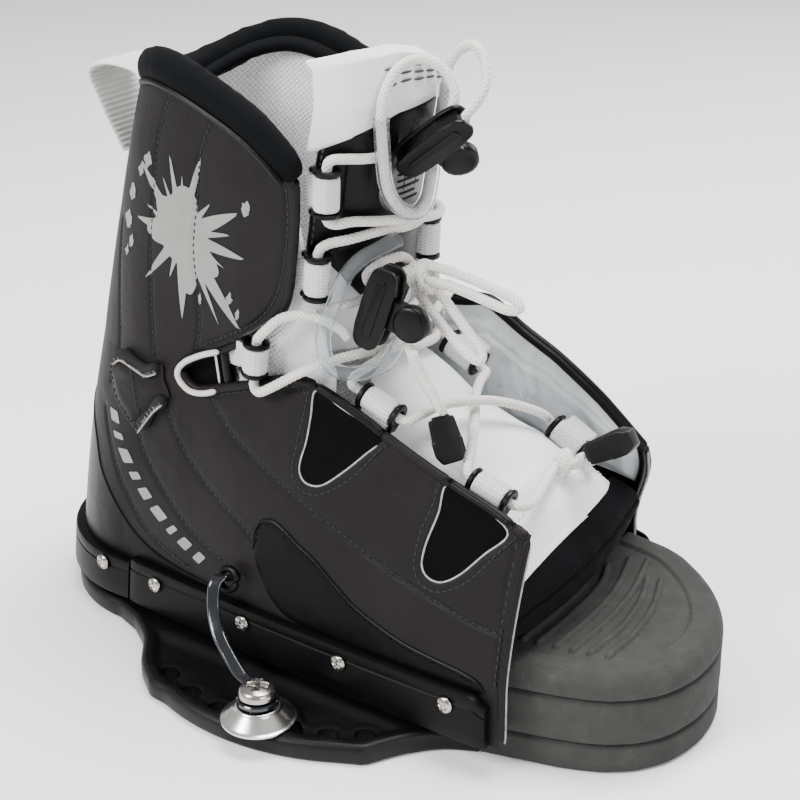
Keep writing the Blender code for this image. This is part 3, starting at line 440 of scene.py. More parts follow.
END_TAPER = ((0, 0.35), (1, 0.8))


def tube(points, radius, sides=10, relief=None, hint=(0.0, 0.0, 1.0), flat=1.0):
    """Round cord along points; relief(s, angle) scales its radius and flat squeezes it one way."""
    points = np.asarray(points, float)
    s = np.concatenate([[0], np.cumsum(np.linalg.norm(np.diff(points, axis=0), axis=1))])
    radius = np.broadcast_to(np.asarray(radius, float), (len(points),)).copy()
    _, side, up = frames_along(points, hint)
    for k, share in END_TAPER:
        radius[k] *= share
        radius[-1 - k] *= share
    angle = np.arange(sides) * 2 * math.pi / sides
    r = radius[:, None] * np.ones(sides)[None, :]
    if relief is not None:
        r = r * relief(s[:, None], angle[None, :])
    ring = (points[:, None, :] + r[..., None] * (side[:, None, :] * np.cos(angle)[None, :, None]
            + up[:, None, :] * (flat * np.sin(angle))[None, :, None]))
    verts = ring.reshape(-1, 3)
    faces = grid_faces(len(points), sides, wrap=True)
    uv = np.stack(np.broadcast_arrays(s[:, None], angle[None, :]), -1).reshape(-1, 2)
    return verts, faces + end_caps(len(points), sides), uv


def lathe(profile, steps):
    """Surface of revolution about Z from a line of (radius, height) points."""
    angle = np.arange(steps) * 2 * math.pi / steps
    rings = [np.stack([r * np.cos(angle), r * np.sin(angle), np.full(steps, z)], -1) for r, z in profile]
    return np.array(rings).reshape(-1, 3), grid_faces(len(profile), steps, wrap=True)


def moved(verts, matrix):
    m = np.array(matrix, float)
    return np.asarray(verts, float).reshape(-1, 3) @ m[:3, :3].T + m[:3, 3]


def frame_at(point, z_axis, x_hint):
    z = Vector(z_axis).normalized()
    x = Vector(x_hint)
    x = (x - z * x.dot(z)).normalized()
    rot = Matrix((x, z.cross(x), z)).transposed().to_4x4()
    return Matrix.Translation(Vector(point)) @ rot


def rounded(outline, radius, steps):
    """A closed 2-D outline with its corners rounded."""
    out = []
    pts = np.array(outline, float)
    n = len(pts)
    for i in range(n):
        p, a, b = pts[i], pts[i - 1], pts[(i + 1) % n]
        da, db = a - p, b - p
        la, lb = np.linalg.norm(da), np.linalg.norm(db)
        cut = min(radius, 0.45 * la, 0.45 * lb)
        pa, pb = p + da / la * cut, p + db / lb * cut
        for k in range(steps + 1):
            t = k / steps
            out.append((1 - t) ** 2 * pa + 2 * t * (1 - t) * p + t * t * pb)
    return np.array(out)


def prism(outline, z_lo, z_hi, bevel, steps):
    """Extruded outline with rounded rims, as rings joined from bottom to top."""
    pts = np.array(outline, float)
    inward = left_of_ring(pts)
    area = 0.5 * np.sum(pts[:, 0] * np.roll(pts[:, 1], -1) - np.roll(pts[:, 0], -1) * pts[:, 1])
    if area < 0:
        inward = -inward
    turn = np.linspace(0, math.pi / 2, steps + 1)
    rings = [(bevel * (1 - math.sin(a)), z_lo + bevel * (1 - math.cos(a))) for a in turn]
    rings += [(inset, z_lo + z_hi - z) for inset, z in rings[::-1]]
    verts = np.array([np.column_stack([pts + inward * inset, np.full(len(pts), z)]) for inset, z in rings])
    faces = grid_faces(len(rings), len(pts), wrap=True) + end_caps(len(rings), len(pts))
    return verts.reshape(-1, 3), faces


def filled(outline, holes=(), pitch=2.0):
    """Triangles over a 2-D outline, with spaced points inside; returns points and faces."""
    outline = np.array(outline, float)
    lo, hi = outline.min(0), outline.max(0)
    gx, gy = np.meshgrid(np.arange(lo[0], hi[0], pitch), np.arange(lo[1], hi[1], pitch * 0.866))
    gx = gx + (np.arange(gx.shape[0]) % 2)[:, None] * pitch / 2
    pts = np.stack([gx.ravel(), gy.ravel()], 1)
    keep = outline_distance(pts, outline) < -0.45 * pitch
    for h in holes:
        keep &= outline_distance(pts, np.array(h, float)) > 0.4 * pitch
    pts = pts[keep]
    loops = [outline] + [np.array(h, float) for h in holes]
    all_pts = [Vector(p) for p in np.vstack(loops + [pts])]
    edges = []
    at = 0
    for loop in loops:
        n = len(loop)
        edges += [(at + k, at + (k + 1) % n) for k in range(n)]
        at += n
    kind = 1 if not holes else 5
    verts, _, faces, *_ = geometry.delaunay_2d_cdt(all_pts, edges, [], kind, 1e-5)
    verts = np.array([tuple(v) for v in verts])
    if holes:
        centre = np.array([verts[list(f)].mean(0) for f in faces])
        good = outline_distance(centre, outline) < 0
        for h in holes:
            good &= outline_distance(centre, np.array(h, float)) > 0
        faces = [f for f, ok in zip(faces, good) if ok]
    return verts, [list(f) for f in faces]


def stitches(build, path, outward, pitch=3.0, length=2.1, radius=0.32, sink=0.0):
    """Short rounded threads laid end to end along a path of points."""
    spots = resample(path, pitch)
    if len(spots) < 3:
        return
    out = resample(np.hstack([path, outward]), pitch)[:, 3:]
    tangent = unit(np.gradient(spots, axis=0))
    out = unit(out)
    across = unit(np.cross(tangent, out))
    out = np.cross(across, tangent)
    rings, sides = 5, 6
    us = np.linspace(-1, 1, rings)
    ang = np.arange(sides) * 2 * math.pi / sides
    faces = grid_faces(rings, sides, wrap=True) + end_caps(rings, sides)
    for p, t, o, c in zip(spots[:-1], tangent, out, across):
        mid = p + t * pitch / 2 + o * (radius * 0.35 - sink)
        r = radius * np.sqrt(np.clip(1 - (us * 0.93) ** 4, 0.05, 1))
        pts = (mid + t * (us * length / 2)[:, None, None]
               + (c * np.cos(ang)[:, None] + o * np.sin(ang)[:, None])[None] * r[:, None, None]
               - o * (us ** 2 * radius * 0.7)[:, None, None])
        build.add(pts, faces)


# ---------------------------------------------------------------- materials

def ramp_node(tree, factor, stops):
    node = tree.nodes.new("ShaderNodeValToRGB")
    while len(node.color_ramp.elements) > 1:
        node.color_ramp.elements.remove(node.color_ramp.elements[-1])
    node.color_ramp.elements[0].position = stops[0][0]
    node.color_ramp.elements[0].color = stops[0][1]
    for position, colour in stops[1:]:
        node.color_ramp.elements.new(position).color = colour
    tree.links.new(factor, node.inputs[0])
    return node.outputs[0]


def texture(tree, kind, scale, coord, **settings):
    """A procedural texture's factor, with features of about scale millimetres."""
    node = tree.nodes.new(kind)
    tree.links.new(coord, node.inputs["Vector"])
    node.inputs["Scale"].default_value = 1000.0 / scale
    for key, value in settings.items():
        if key in node.inputs:
            node.inputs[key].default_value = value
        else:
            setattr(node, key, value)
    return node.outputs["Fac"] if "Fac" in node.outputs else node.outputs["Distance"]


def maths(tree, operation, a, b=0.0):
    node = tree.nodes.new("ShaderNodeMath")
    node.operation = operation
    for socket, value in zip(node.inputs, (a, b)):
        if isinstance(value, (int, float)):
            socket.default_value = value
        else:
            tree.links.new(value, socket)
    return node.outputs[0]


def weave(tree, pitch_u, pitch_v, stagger):
    """Woven relief from the UV map, whose units are millimetres."""
    uv = tree.nodes.new("ShaderNodeUVMap")
    split = tree.nodes.new("ShaderNodeSeparateXYZ")
    tree.links.new(uv.outputs[0], split.inputs[0])
    u = maths(tree, "MULTIPLY", split.outputs[0], 2 * math.pi / pitch_u)
    v = maths(tree, "MULTIPLY", split.outputs[1], 2 * math.pi / pitch_v)
    if stagger:
        a = maths(tree, "SINE", maths(tree, "ADD", u, v))
        b = maths(tree, "SINE", maths(tree, "SUBTRACT", u, v))
    else:
        a = maths(tree, "SINE", u)
        b = maths(tree, "SINE", v)
    return maths(tree, "MULTIPLY_ADD", maths(tree, "MULTIPLY", a, b), 0.5)


def material(name, colour, rough=0.6, metal=0.0, spread=0.12, blotch=30.0, bumps=(), weave_of=None,
             sheen=0.0, coat=0.0, transmission=0.0, ior=1.45, wear=0.0, subsurface=0.0,
             spec=0.5, wear_colour=None):
    """Principled material: blotched colour, layered relief, and optional weave from the UV map, with painted shade
    darkening the weave's low threads.
    """
    mat = bpy.data.materials.new(name)
    mat.use_nodes = True
    tree = mat.node_tree
    shader = tree.nodes["Principled BSDF"]
    coord = tree.nodes.new("ShaderNodeTexCoord").outputs["Object"]
    dark = tuple(c * (1 - spread) for c in colour) + (1,)
    light = tuple(min(1.0, c * (1 + spread)) for c in colour) + (1,)
    blot = texture(tree, "ShaderNodeTexNoise", blotch, coord, Detail=5.0, Roughness=0.6)
    base = ramp_node(tree, blot, ((0.3, dark), (0.7, light)))
    if wear:
        fine = texture(tree, "ShaderNodeTexNoise", 7.0, coord, Detail=8.0, Roughness=0.75)
        worn = wear_colour or tuple(min(1.0, c * 1.7 + 0.02) for c in colour)
        mask = ramp_node(tree, fine, ((0.56, (0, 0, 0, 1)), (0.72, (wear, wear, wear, 1))))
        mix = tree.nodes.new("ShaderNodeMix")
        mix.data_type = "RGBA"
        tree.links.new(mask, mix.inputs[0])
        tree.links.new(base, mix.inputs[6])
        mix.inputs[7].default_value = (*worn, 1)
        base = mix.outputs[2]
    normal = None
    layers = [(texture(tree, kind, scale, coord, **dict(extra)), depth)
              for kind, scale, depth, extra in bumps]
    if weave_of:
        pitch_u, pitch_v, stagger, depth, shade = weave_of
        cloth = weave(tree, pitch_u, pitch_v, stagger)
        layers.append((cloth, depth))
        # Painted shade: the base colour is darkened where the weave is low, as if shaded between the threads.
        if shade:
            trough_shade = ramp_node(tree, cloth, ((0.0, (1 - shade,) * 3 + (1,)), (0.6, (1, 1, 1, 1))))
            mix = tree.nodes.new("ShaderNodeMix")
            mix.data_type = "RGBA"
            mix.blend_type = "MULTIPLY"
            mix.inputs[0].default_value = 1.0
            tree.links.new(base, mix.inputs[6])
            tree.links.new(trough_shade, mix.inputs[7])
            base = mix.outputs[2]
    for height, depth in layers:
        bump = tree.nodes.new("ShaderNodeBump")
        bump.inputs["Strength"].default_value = 1.0
        bump.inputs["Distance"].default_value = depth * MM
        tree.links.new(height, bump.inputs["Height"])
        if normal is not None:
            tree.links.new(normal, bump.inputs["Normal"])
        normal = bump.outputs[0]
    if normal is not None:
        tree.links.new(normal, shader.inputs["Normal"])
    tree.links.new(base, shader.inputs["Base Color"])
    for socket, value in (("Roughness", rough), ("Metallic", metal), ("Specular IOR Level", spec),
                          ("Sheen Weight", sheen), ("Sheen Roughness", 0.4), ("Coat Weight", coat),
                          ("Coat Roughness", 0.15), ("Transmission Weight", transmission), ("IOR", ior),
                          ("Subsurface Weight", subsurface), ("Subsurface Scale", 0.002)):
        shader.inputs[socket].default_value = value
    mat.diffuse_color = (*colour, 1)
    return mat


NOISE = "ShaderNodeTexNoise"
CELLS = "ShaderNodeTexVoronoi"

LEATHER = material("leather", (0.0070, 0.0058, 0.0056), 0.50, spread=0.2, blotch=26.0, wear=0.22,
                   wear_colour=(0.018, 0.016, 0.0155),
                   bumps=((CELLS, 0.9, 0.05, {}), (NOISE, 0.35, 0.03, {"Detail": 6.0}),
                          (NOISE, 9.0, 0.35, {"Detail": 3.0})), spec=0.14)
BLACK_LEATHER = material("black_leather", (0.0018, 0.0018, 0.0020), 0.42, spread=0.2, spec=0.15,
                         bumps=((CELLS, 0.8, 0.04, {}), (NOISE, 6.0, 0.2, {})))
GLOSS_PANEL = material("gloss_panel", (0.0017, 0.0016, 0.0016), 0.36, spread=0.25, blotch=14.0,
                       wear=0.03, spec=0.08,
                       bumps=((NOISE, 5.0, 0.25, {"Detail": 4.0}), (CELLS, 0.7, 0.03, {})))
HEEL_PANEL = material("heel_panel", (0.0024, 0.0024, 0.0028), 0.34, spread=0.3, blotch=18.0,
                      wear=0.05, spec=0.10,
                      bumps=((NOISE, 8.0, 0.3, {"Detail": 3.0}), (CELLS, 0.7, 0.03, {})))
STRETCH = material("stretch_fabric", (0.0013, 0.0013, 0.0015), 0.9, spread=0.2, blotch=5.0,
                   sheen=0.01, spec=0.08,
                   bumps=((CELLS, 0.55, 0.10, {}),))
NEOPRENE = material("neoprene", (0.0016, 0.0020, 0.0026), 0.8, spread=0.18, blotch=12.0,
                    sheen=0.015, spec=0.09,
                    bumps=((CELLS, 0.5, 0.10, {}), (NOISE, 4.0, 0.12, {})))
KNIT = material("rim_knit", (0.0014, 0.0014, 0.0022), 0.85, spread=0.2, sheen=0.012, spec=0.08,
                weave_of=(1.3, 1.3, True, 0.16, 0.3), bumps=((NOISE, 3.0, 0.1, {}),))
MESH = material("white_mesh", (0.82, 0.825, 0.84), 0.8, spread=0.03, sheen=0.1, subsurface=0.05,
                weave_of=(2.1, 2.1, False, 0.38, 0.32), bumps=((NOISE, 6.0, 0.2, {}),))
TWILL = material("white_twill", (0.80, 0.80, 0.81), 0.8, spread=0.02, blotch=16.0, sheen=0.15,
                 subsurface=0.08, weave_of=(1.5, 1.5, True, 0.10, 0.13), bumps=((NOISE, 9.0, 0.35, {}),))
ELASTIC = material("elastic", (0.78, 0.775, 0.76), 0.72, spread=0.03, sheen=0.2, subsurface=0.08,
                   weave_of=(0.8, 0.8, False, 0.08, 0.06), bumps=((NOISE, 7.0, 0.2, {}),))
SATIN = material("satin", (0.60, 0.635, 0.655), 0.36, spread=0.12, blotch=12.0, sheen=0.3, coat=0.15,
                 bumps=((NOISE, 9.0, 1.6, {"Detail": 3.0, "Distortion": 0.8}), (NOISE, 3.0, 0.3, {})))
WEBBING = material("webbing", (0.60, 0.60, 0.59), 0.7, spread=0.05, sheen=0.15,
                   weave_of=(1.1, 2.4, False, 0.28, 0.25))
RIBBED = material("ribbed_webbing", (0.66, 0.655, 0.63), 0.7, spread=0.05, sheen=0.15,
                  weave_of=(1.0, 1.0, False, 0.08, 0.12), bumps=((NOISE, 1.2, 0.1, {}),))
LACE = material("lace_braid", (0.70, 0.675, 0.635), 0.75, spread=0.06, blotch=4.0, sheen=0.2,
                subsurface=0.05, weave_of=(1.7, math.pi / 3, False, 0.2, 0.34),
                bumps=((NOISE, 0.4, 0.05, {}),))
PLASTIC = material("black_plastic", (0.0014, 0.0014, 0.0017), 0.34, spread=0.2, wear=0.04, spec=0.18,
                   bumps=((NOISE, 0.5, 0.012, {}), (NOISE, 6.0, 0.05, {})))
PULL = material("pull_rubber", (0.0036, 0.0038, 0.0044), 0.40, spread=0.15, wear=0.05, spec=0.22,
                bumps=((NOISE, 0.6, 0.02, {}), (NOISE, 5.0, 0.06, {})))
COMPOSITE = material("composite", (0.0018, 0.0018, 0.0021), 0.45, spread=0.3, blotch=9.0,
                     wear=0.08, spec=0.24,
                     bumps=((NOISE, 0.5, 0.06, {"Detail": 8.0}), (NOISE, 5.0, 0.10, {})))
RAIL = material("rail_plastic", (0.0013, 0.0014, 0.0014), 0.42, spread=0.3, blotch=8.0, wear=0.04, spec=0.12,
                bumps=((NOISE, 0.5, 0.03, {"Detail": 6.0}), (NOISE, 7.0, 0.12, {})))
EVA = material("foam", (0.0360, 0.0353, 0.0338), 0.9, spread=0.14, blotch=7.0, wear=0.25, spec=0.25,
               wear_colour=(0.080, 0.076, 0.071),
               bumps=((NOISE, 0.6, 0.16, {"Detail": 8.0}), (CELLS, 1.4, 0.08, {}), (NOISE, 8.0, 0.25, {})))
STEEL = material("steel", (0.40, 0.37, 0.34), 0.24, metal=1.0, spread=0.1, blotch=3.0,
                 bumps=((NOISE, 1.0, 0.02, {}),))
WASHER = material("turned_washer", (0.66, 0.645, 0.62), 0.24, metal=1.0, spread=0.08, blotch=6.0,
                  bumps=((NOISE, 0.7, 0.02, {}),))
TETHER = material("tether", (0.006, 0.008, 0.011), 0.14, spread=0.2, coat=0.6, transmission=0.25)
TUBE = material("clear_tube", (0.88, 0.91, 0.93), 0.06, spread=0.03, transmission=0.96, ior=1.12)
THREAD = material("dark_thread", (0.002, 0.0018, 0.0018), 0.6, spread=0.2)
GREY_THREAD = material("grey_thread", (0.05, 0.05, 0.054), 0.65, spread=0.1)
PALE_EDGE = material("pale_edge", (0.30, 0.29, 0.27), 0.8, spread=0.3, blotch=2.0,
                     bumps=((NOISE, 0.5, 0.2, {}),))
PIPING = material("white_piping", (0.55, 0.53, 0.50), 0.6, spread=0.08, blotch=3.0,
                  bumps=((NOISE, 0.8, 0.1, {}),))
PRINT = material("printed_splash", (0.21, 0.21, 0.20), 0.5, spread=0.10, blotch=12.0,
                 bumps=((CELLS, 0.9, 0.04, {}), (NOISE, 9.0, 0.2, {})))
BADGE = material("badge", (0.085, 0.084, 0.086), 0.4, spread=0.08, bumps=((NOISE, 0.8, 0.03, {}),))
# Near-black colour painted as the shade inside the strap tunnel's open ends.
PAINTED_GAP_SHADE = material("painted_shade_inside", (0.004, 0.004, 0.0045), 0.9, spread=0.1)


# ---------------------------------------------------------------- camera

CAMERA_AZ = math.radians(34.43)
CAMERA_EL = math.radians(24.19)
CAMERA_ROLL = math.radians(-0.35)
CAMERA_TARGET = Vector((0.0171, 0.0, 0.0943))
CAMERA_DISTANCE = 0.574

back = Vector((math.sin(CAMERA_AZ) * math.cos(CAMERA_EL), -math.cos(CAMERA_AZ) * math.cos(CAMERA_EL),
               math.sin(CAMERA_EL)))
right = Vector((math.cos(CAMERA_AZ), math.sin(CAMERA_AZ), 0))
up = back.cross(right)
cam_x = right * math.cos(CAMERA_ROLL) + up * math.sin(CAMERA_ROLL)
cam_y = up * math.cos(CAMERA_ROLL) - right * math.sin(CAMERA_ROLL)
lens = bpy.data.cameras.new("camera")
lens.lens = 76.5
lens.sensor_width = 36
lens.dof.use_dof = False
camera = bpy.data.objects.new("camera", lens)
camera.matrix_world = (Matrix.Translation(CAMERA_TARGET + back * CAMERA_DISTANCE)
                       @ Matrix((cam_x, cam_y, back)).transposed().to_4x4())
bpy.context.scene.collection.objects.link(camera)
bpy.context.scene.camera = camera


# ---------------------------------------------------------------- laces, sleeves and pulls

LACE_R = 1.6
TUBE_R = 2.5
TUBE_BORE = 1.95
BRAID_PITCH = 1.8
BRAID_RELIEF = 0.06
UPPER_LACE_NEAR = (
    (21.5, -17.5, 183.5), (18.5, -21.5, 183.6), (15.8, -26, 184.2), (13, -29.8, 184.3),
    (11.9, -31, 182), (11.5, -31, 174), (11.1, -31, 166), (12.8, -28.8, 163.6),
    (16, -23.5, 163.6), (20.5, -15.5, 162.4), (24.6, -8.5, 161.8), (27, -1.5, 161),
    (26.6, 6.5, 159.6), (23.4, 14.5, 158), (18, 22.5, 156.6), (12.6, 27.6, 155.4), (10.3, 28.7, 152.4),
    (9.5, 28.6, 143), (8.9, 28.6, 134.6), (10.2, 27.4, 132.2), (13.5, 22, 133.4), (17.5, 14.5, 136.5),
    (21, 7, 140), (24.5, 1.2, 142), (30, -3.2, 141.5), (36, -6.8, 140), (42, -9.5, 137.5),
    (48, -11.8, 134), (53, -13.2, 130.5), (57.8, -14.5, 126.6), (58.6, -17, 124.2),
    (54, -17.2, 126), (47, -15.7, 130), (40, -13.4, 134), (33, -10.4, 137.6), (28.5, -8, 140))
UPPER_LACE_FAR = (
    (34.4, -5.5, 191.6), (35.6, -1, 193.2), (35.4, 4.4, 192.6), (32.6, 11.4, 189.8), (27, 17.5, 186),
    (21.5, 23, 182.6), (16.2, 27, 180.6), (13.2, 28.2, 178), (12.6, 28.2, 171), (12.1, 28.2, 164.4),
    (13.2, 25.6, 160.4), (17.6, 17.2, 158.4), (20.5, 7.2, 156.8), (21, -2, 157), (20.6, -9.5, 158.4),
    (18.4, -16.5, 158.4), (14.2, -23.4, 157.4), (10, -29, 156.6), (8.1, -31.5, 154), (7.5, -31.5, 146),
    (6.9, -31.5, 138), (8, -29.8, 135.4), (11, -26.5, 135), (15.2, -21.4, 136.2), (19, -14.5, 138),
    (22.5, -7, 140), (23.8, -3.4, 144.6), (23.8, -7, 148.6), (22.6, -12, 149.4), (20.4, -17.5, 148.2),
    (18.8, -20.6, 145.6), (19.4, -19, 142.6), (21.8, -14, 142.8),
    (25.4, -9.4, 144.6), (31, -6.8, 147), (38, -7.5, 147.8), (48, -8.2, 147.1), (58, -8.6, 145.4),
    (66, -9, 143.6), (68.4, -9.8, 141.3), (64.5, -10.6, 140.4), (55, -10.4, 142), (44, -10, 143.6),
    (34, -9.4, 143.6))
PULL_LEFT = ((39.6, -8.9, 193.6), (41.2, -7.3, 198), (42, -6.4, 201.6), (41.2, -5.4, 205.6),
             (38, -5.2, 210), (33, -7, 213), (28.6, -10.5, 213), (25.8, -15, 209.6), (25.2, -19.5, 203.5))
PULL_SLEEVED = ((25.2, -21, 197), (25.4, -20.6, 187.5), (25, -18.8, 178), (25.2, -16.6, 172),
                (26.4, -12.8, 167), (28.8, -8.4, 164.8), (30.6, -4.6, 168), (30.4, -1.4, 174.5),
                (29.4, 1.6, 181), (29.8, 3.8, 189), (31.2, 4.4, 197), (31.6, 4.8, 203.5))
PULL_RIGHT = ((32.6, 5.6, 209.5), (35.8, 6.8, 214), (40.4, 6.6, 216), (45, 5, 213.6), (48, 2.2, 208.4),
              (48.6, -0.8, 204), (47.2, -4.0, 200.0), (44.6, -7.2, 195.6))
LOWER_LACE_NEAR = (
    (16.8, -28.2, 126), (14.5, -30.4, 130), (10, -33, 132.8), (4, -36.2, 134), (-1.5, -39.2, 132.6),
    (-6, -40.6, 128.6), (-10, -40, 124.8), (-12.2, -38.8, 122), (-13, -38.8, 116),
    (-13.9, -38.8, 109.2), (-13.2, -39.8, 106.4), (-10, -41.2, 105.8), (-5, -41, 108.6),
    (1.5, -39.4, 113), (6.8, -36.4, 116.2), (10.8, -31.8, 117.8), (14.6, -24.4, 118.4),
    (18.6, -14.4, 117.8), (21.4, -4, 116.2), (22, 6, 114), (20.6, 15.6, 112.4), (16.8, 22.4, 111.2),
    (14.8, 26.2, 109.6), (17, 27, 107.8), (25, 27, 104), (32.6, 27, 100.3), (35.4, 25.4, 99.6),
    (38, 18, 100.3), (42, 8.5, 99.6), (47.5, -1, 96.8), (52.5, -10, 93.8), (56, -17.4, 91.4),
    (58.6, -23, 89.6), (61.4, -25.5, 87.9), (69, -25.5, 85.5), (76.2, -25.5, 83.2), (79, -23.6, 82.2),
    (79.2, -16, 80.8), (77, -8, 80.6), (75, 0, 81), (73, 7, 81.4), (71.5, 11, 81.6))
LOWER_LACE_FAR = (
    (24, -17.4, 133), (23.4, -12.5, 130.4), (21.6, -5, 128.8), (18.6, 6, 128), (14.4, 18, 127.4),
    (8.6, 28.6, 128.6), (1, 36, 130.6), (-6, 40, 128.4), (-10.4, 40, 124.4), (-12.3, 38.8, 121),
    (-13, 38.8, 116), (-13.7, 38.8, 110), (-12.2, 40.4, 108), (-8, 41.8, 109.6), (-2, 42.4, 114),
    (4, 42.6, 118.4), (9.6, 41, 121.8), (14.6, 35.4, 123), (17, 27, 121.8), (18.6, 18, 120.6),
    (20.4, 8.6, 120.6), (22.2, -3, 121), (22.6, -11.5, 119.8), (21.8, -18, 117), (19.8, -23, 115),
    (17.6, -26, 112.8), (17.2, -27.4, 110.2), (19.6, -26.5, 108.2), (28, -26.5, 105),
    (36.6, -26.5, 101.9), (39.8, -21.6, 102.8), (42, -12, 103.2), (46.5, -3, 102.4), (50, 6, 100),
    (54, 15, 96), (57.6, 23, 91.4), (58.8, 28, 87.4), (60.6, 28.3, 85.4), (67.1, 28.1, 81.7),
    (74.4, 28.1, 77.7), (77.2, 26.4, 77.2), (77.6, 21.4, 79), (76.6, 17.2, 80.8), (78, 15.2, 82.6),
    (80.4, 15.4, 84.2))
LACE_TAILS = (
    (37.6, -24.6, 127), (38.2, -22.8, 121), (39.8, -21, 115), (42.6, -19.6, 109.8),
    (45, -19.4, 106.8), (47.8, -21, 106), (48.2, -23.4, 108.4), (45.6, -24.2, 113.5),
    (43, -25.2, 119), (41.6, -27, 124), (41, -28, 127.4))
LOWER_SLEEVE = (
    (23.6, -9.6, 155.4), (21, -15.6, 153.6), (17.6, -22, 151), (15.2, -27.6, 146), (15, -33.2, 139),
    (13.8, -37, 131), (13.8, -37.2, 123.5), (15.4, -34.4, 117.6), (18.6, -30, 115.2),
    (22.8, -26, 115.4), (26, -20.6, 117.4), (27, -15.6, 121.6))


def braid(s, angle):
    """Relief of a round braid: two families of strands crossing."""
    k = 2 * math.pi / BRAID_PITCH
    strands = np.maximum(np.cos(4 * angle + k * s), np.cos(4 * angle - k * s))
    return 1.0 + BRAID_RELIEF * strands - 0.025


def metres(points):
    return [tuple(float(c) * MM for c in p) for p in points]


def lace(name, route, far_end, extra=()):
    line = curve(route, 0.36, 14)
    verts, faces, uv = tube(line, LACE_R, sides=16, relief=braid)
    obj = make(name + "_braid", verts, faces, LACE, nodes=[name], slot="lace", uv=uv, sharp=60,
               wrap_uv=True)
    path = resample(line, 4.0)
    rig.cord(obj, exit=metres(line[:1])[0], length=round(length_of(line) * MM, 3), diameter=2 * LACE_R * MM,
            far_end=far_end, stiffness="limp", lay="loose", path=metres(path), with_pieces=list(extra))


def sleeve(name, route):
    """Clear tubing open at both ends."""
    line = curve(route, 1.0)
    _, side, top = frames_along(line)
    angle = np.arange(20) * 2 * math.pi / 20
    ring = side[:, None, :] * np.cos(angle)[None, :, None] + top[:, None, :] * np.sin(angle)[None, :, None]
    outer = (line[:, None, :] + ring * TUBE_R).reshape(-1, 3)
    inner = (line[:, None, :] + ring * TUBE_BORE).reshape(-1, 3)
    n = len(line)
    faces = grid_faces(n, 20, wrap=True) + [f[::-1] for f in grid_faces(n, 20, wrap=True, base=n * 20)]
    for row in (0, n - 1):
        for k in range(20):
            a, b = row * 20 + k, row * 20 + (k + 1) % 20
            faces.append([a, b, b + n * 20, a + n * 20])
    obj = make(name + "_clear", np.vstack([outer, inner]), faces, TUBE, nodes=[name], slot="tube", sharp=50)
    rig.cord(obj, exit=metres(line[:1])[0], length=round(length_of(line) * MM, 3), diameter=2 * TUBE_R * MM,
            far_end="bare", stiffness="medium", lay="loose", path=metres(resample(line, 4.0)))


def wrap_loops(build, centre, axis, radius, turns, pitch, start):
    """Turns of lace wound round a knot."""
    frame = frame_at(centre, axis, (0.3, 0.2, 1.0))
    t = np.linspace(0, 1, int(44 * turns))
    a = start + t * turns * 2 * math.pi
    pts = np.stack([radius * np.cos(a), radius * 0.85 * np.sin(a), (t - 0.5) * pitch * turns], 1)
    build.tube(resample(moved(pts, frame), 0.5), LACE_R * 1.02, sides=12, relief=braid)


def lace_pulls():
    """Moulded grips on the lace ends: a faceted body with a cross seam and a rounded tip."""
    made = {}
    for name, start, end, half_w in (
            ("tail_pull", (47.4, -21.6, 103.6), (53.5, -23.5, 90.5), 5.0),
            ("end_pull", (81.6, 15.4, 85.4), (96.0, 18.0, 94.0), 4.4)):
        a, b = Vector(start), Vector(end)
        span = (b - a).length
        outline = [(-half_w * 0.84, 0), (half_w * 0.84, 0), (half_w * 0.94, span * 0.44),
                   (half_w, span * 0.50), (half_w, span * 0.80), (half_w * 0.66, span),
                   (-half_w * 0.66, span), (-half_w, span * 0.80), (-half_w, span * 0.50),
                   (-half_w * 0.94, span * 0.44)]
        outline = rounded(outline, 0.8, 3)
        y_axis = (b - a).normalized()
        facing = Vector((0.52, -0.75, 0.41))
        z_axis = (facing - y_axis * facing.dot(y_axis)).normalized()
        rot = Matrix((y_axis.cross(z_axis), y_axis, z_axis)).transposed().to_4x4()
        place = Matrix.Translation(a) @ rot
        build = Build()
        verts, faces = prism(outline, -3.3, 3.3, 0.9, 3)
        verts[:, 2] *= 1.0 - 0.18 * smooth((span * 0.5 - verts[:, 1]) / (span * 0.05))
        build.place(place, (verts, faces))
        neck = [(-half_w * 0.6, -0.8), (half_w * 0.6, -0.8), (half_w * 0.6, 1.6), (-half_w * 0.6, 1.6)]
        build.place(place, prism(rounded(neck, 0.8, 3), -2.3, 2.3, 0.7, 3))
        made[name] = build.make(name + "_grip", PULL, nodes=[name], slot="clip", sharp=35)
    return made


grips = lace_pulls()
knot = Build()
wrap_loops(knot, (31.2, -6.6, 143.6), (0.80, -0.30, 0.10), 3.9, 2.4, 2.4, 0.4)
wrap_loops(knot, (28.6, -5.6, 143.2), (0.35, 0.5, 0.8), 3.6, 1.3, 2.2, 2.0)
wrap_loops(knot, (33.6, -7.4, 142.6), (0.6, 0.1, 0.7), 3.2, 1.1, 2.0, 1.0)
bow_knot = knot.make("bow_knot", LACE, sharp=60, wrap_uv=True)
knot = Build()
wrap_loops(knot, (73.6, 12.6, 81.2), (0.78, 0.6, 0.16), 3.0, 2.3, 1.7, 0.0)
wrap_loops(knot, (75.0, 13.6, 81.6), (0.2, 0.3, 0.93), 2.6, 1.2, 1.4, 1.0)
toe_knot = knot.make("toe_knot", LACE, sharp=60, wrap_uv=True)
lace("upper_lace_near", UPPER_LACE_NEAR, "knot", [bow_knot])
lace("upper_lace_far", UPPER_LACE_FAR, "knot")
lace("upper_pull_loop", PULL_LEFT + PULL_SLEEVED + PULL_RIGHT, "object")
lace("lower_lace_near", LOWER_LACE_NEAR, "knot", [toe_knot])
lace("lower_lace_far", LOWER_LACE_FAR, "knot", [grips["end_pull"]])
lace("lace_tails", LACE_TAILS, "object", [grips["tail_pull"]])
sleeve("upper_sleeve", PULL_SLEEVED)
sleeve("lower_sleeve", LOWER_SLEEVE)


# ---------------------------------------------------------------- boot surface, as in the CAD source

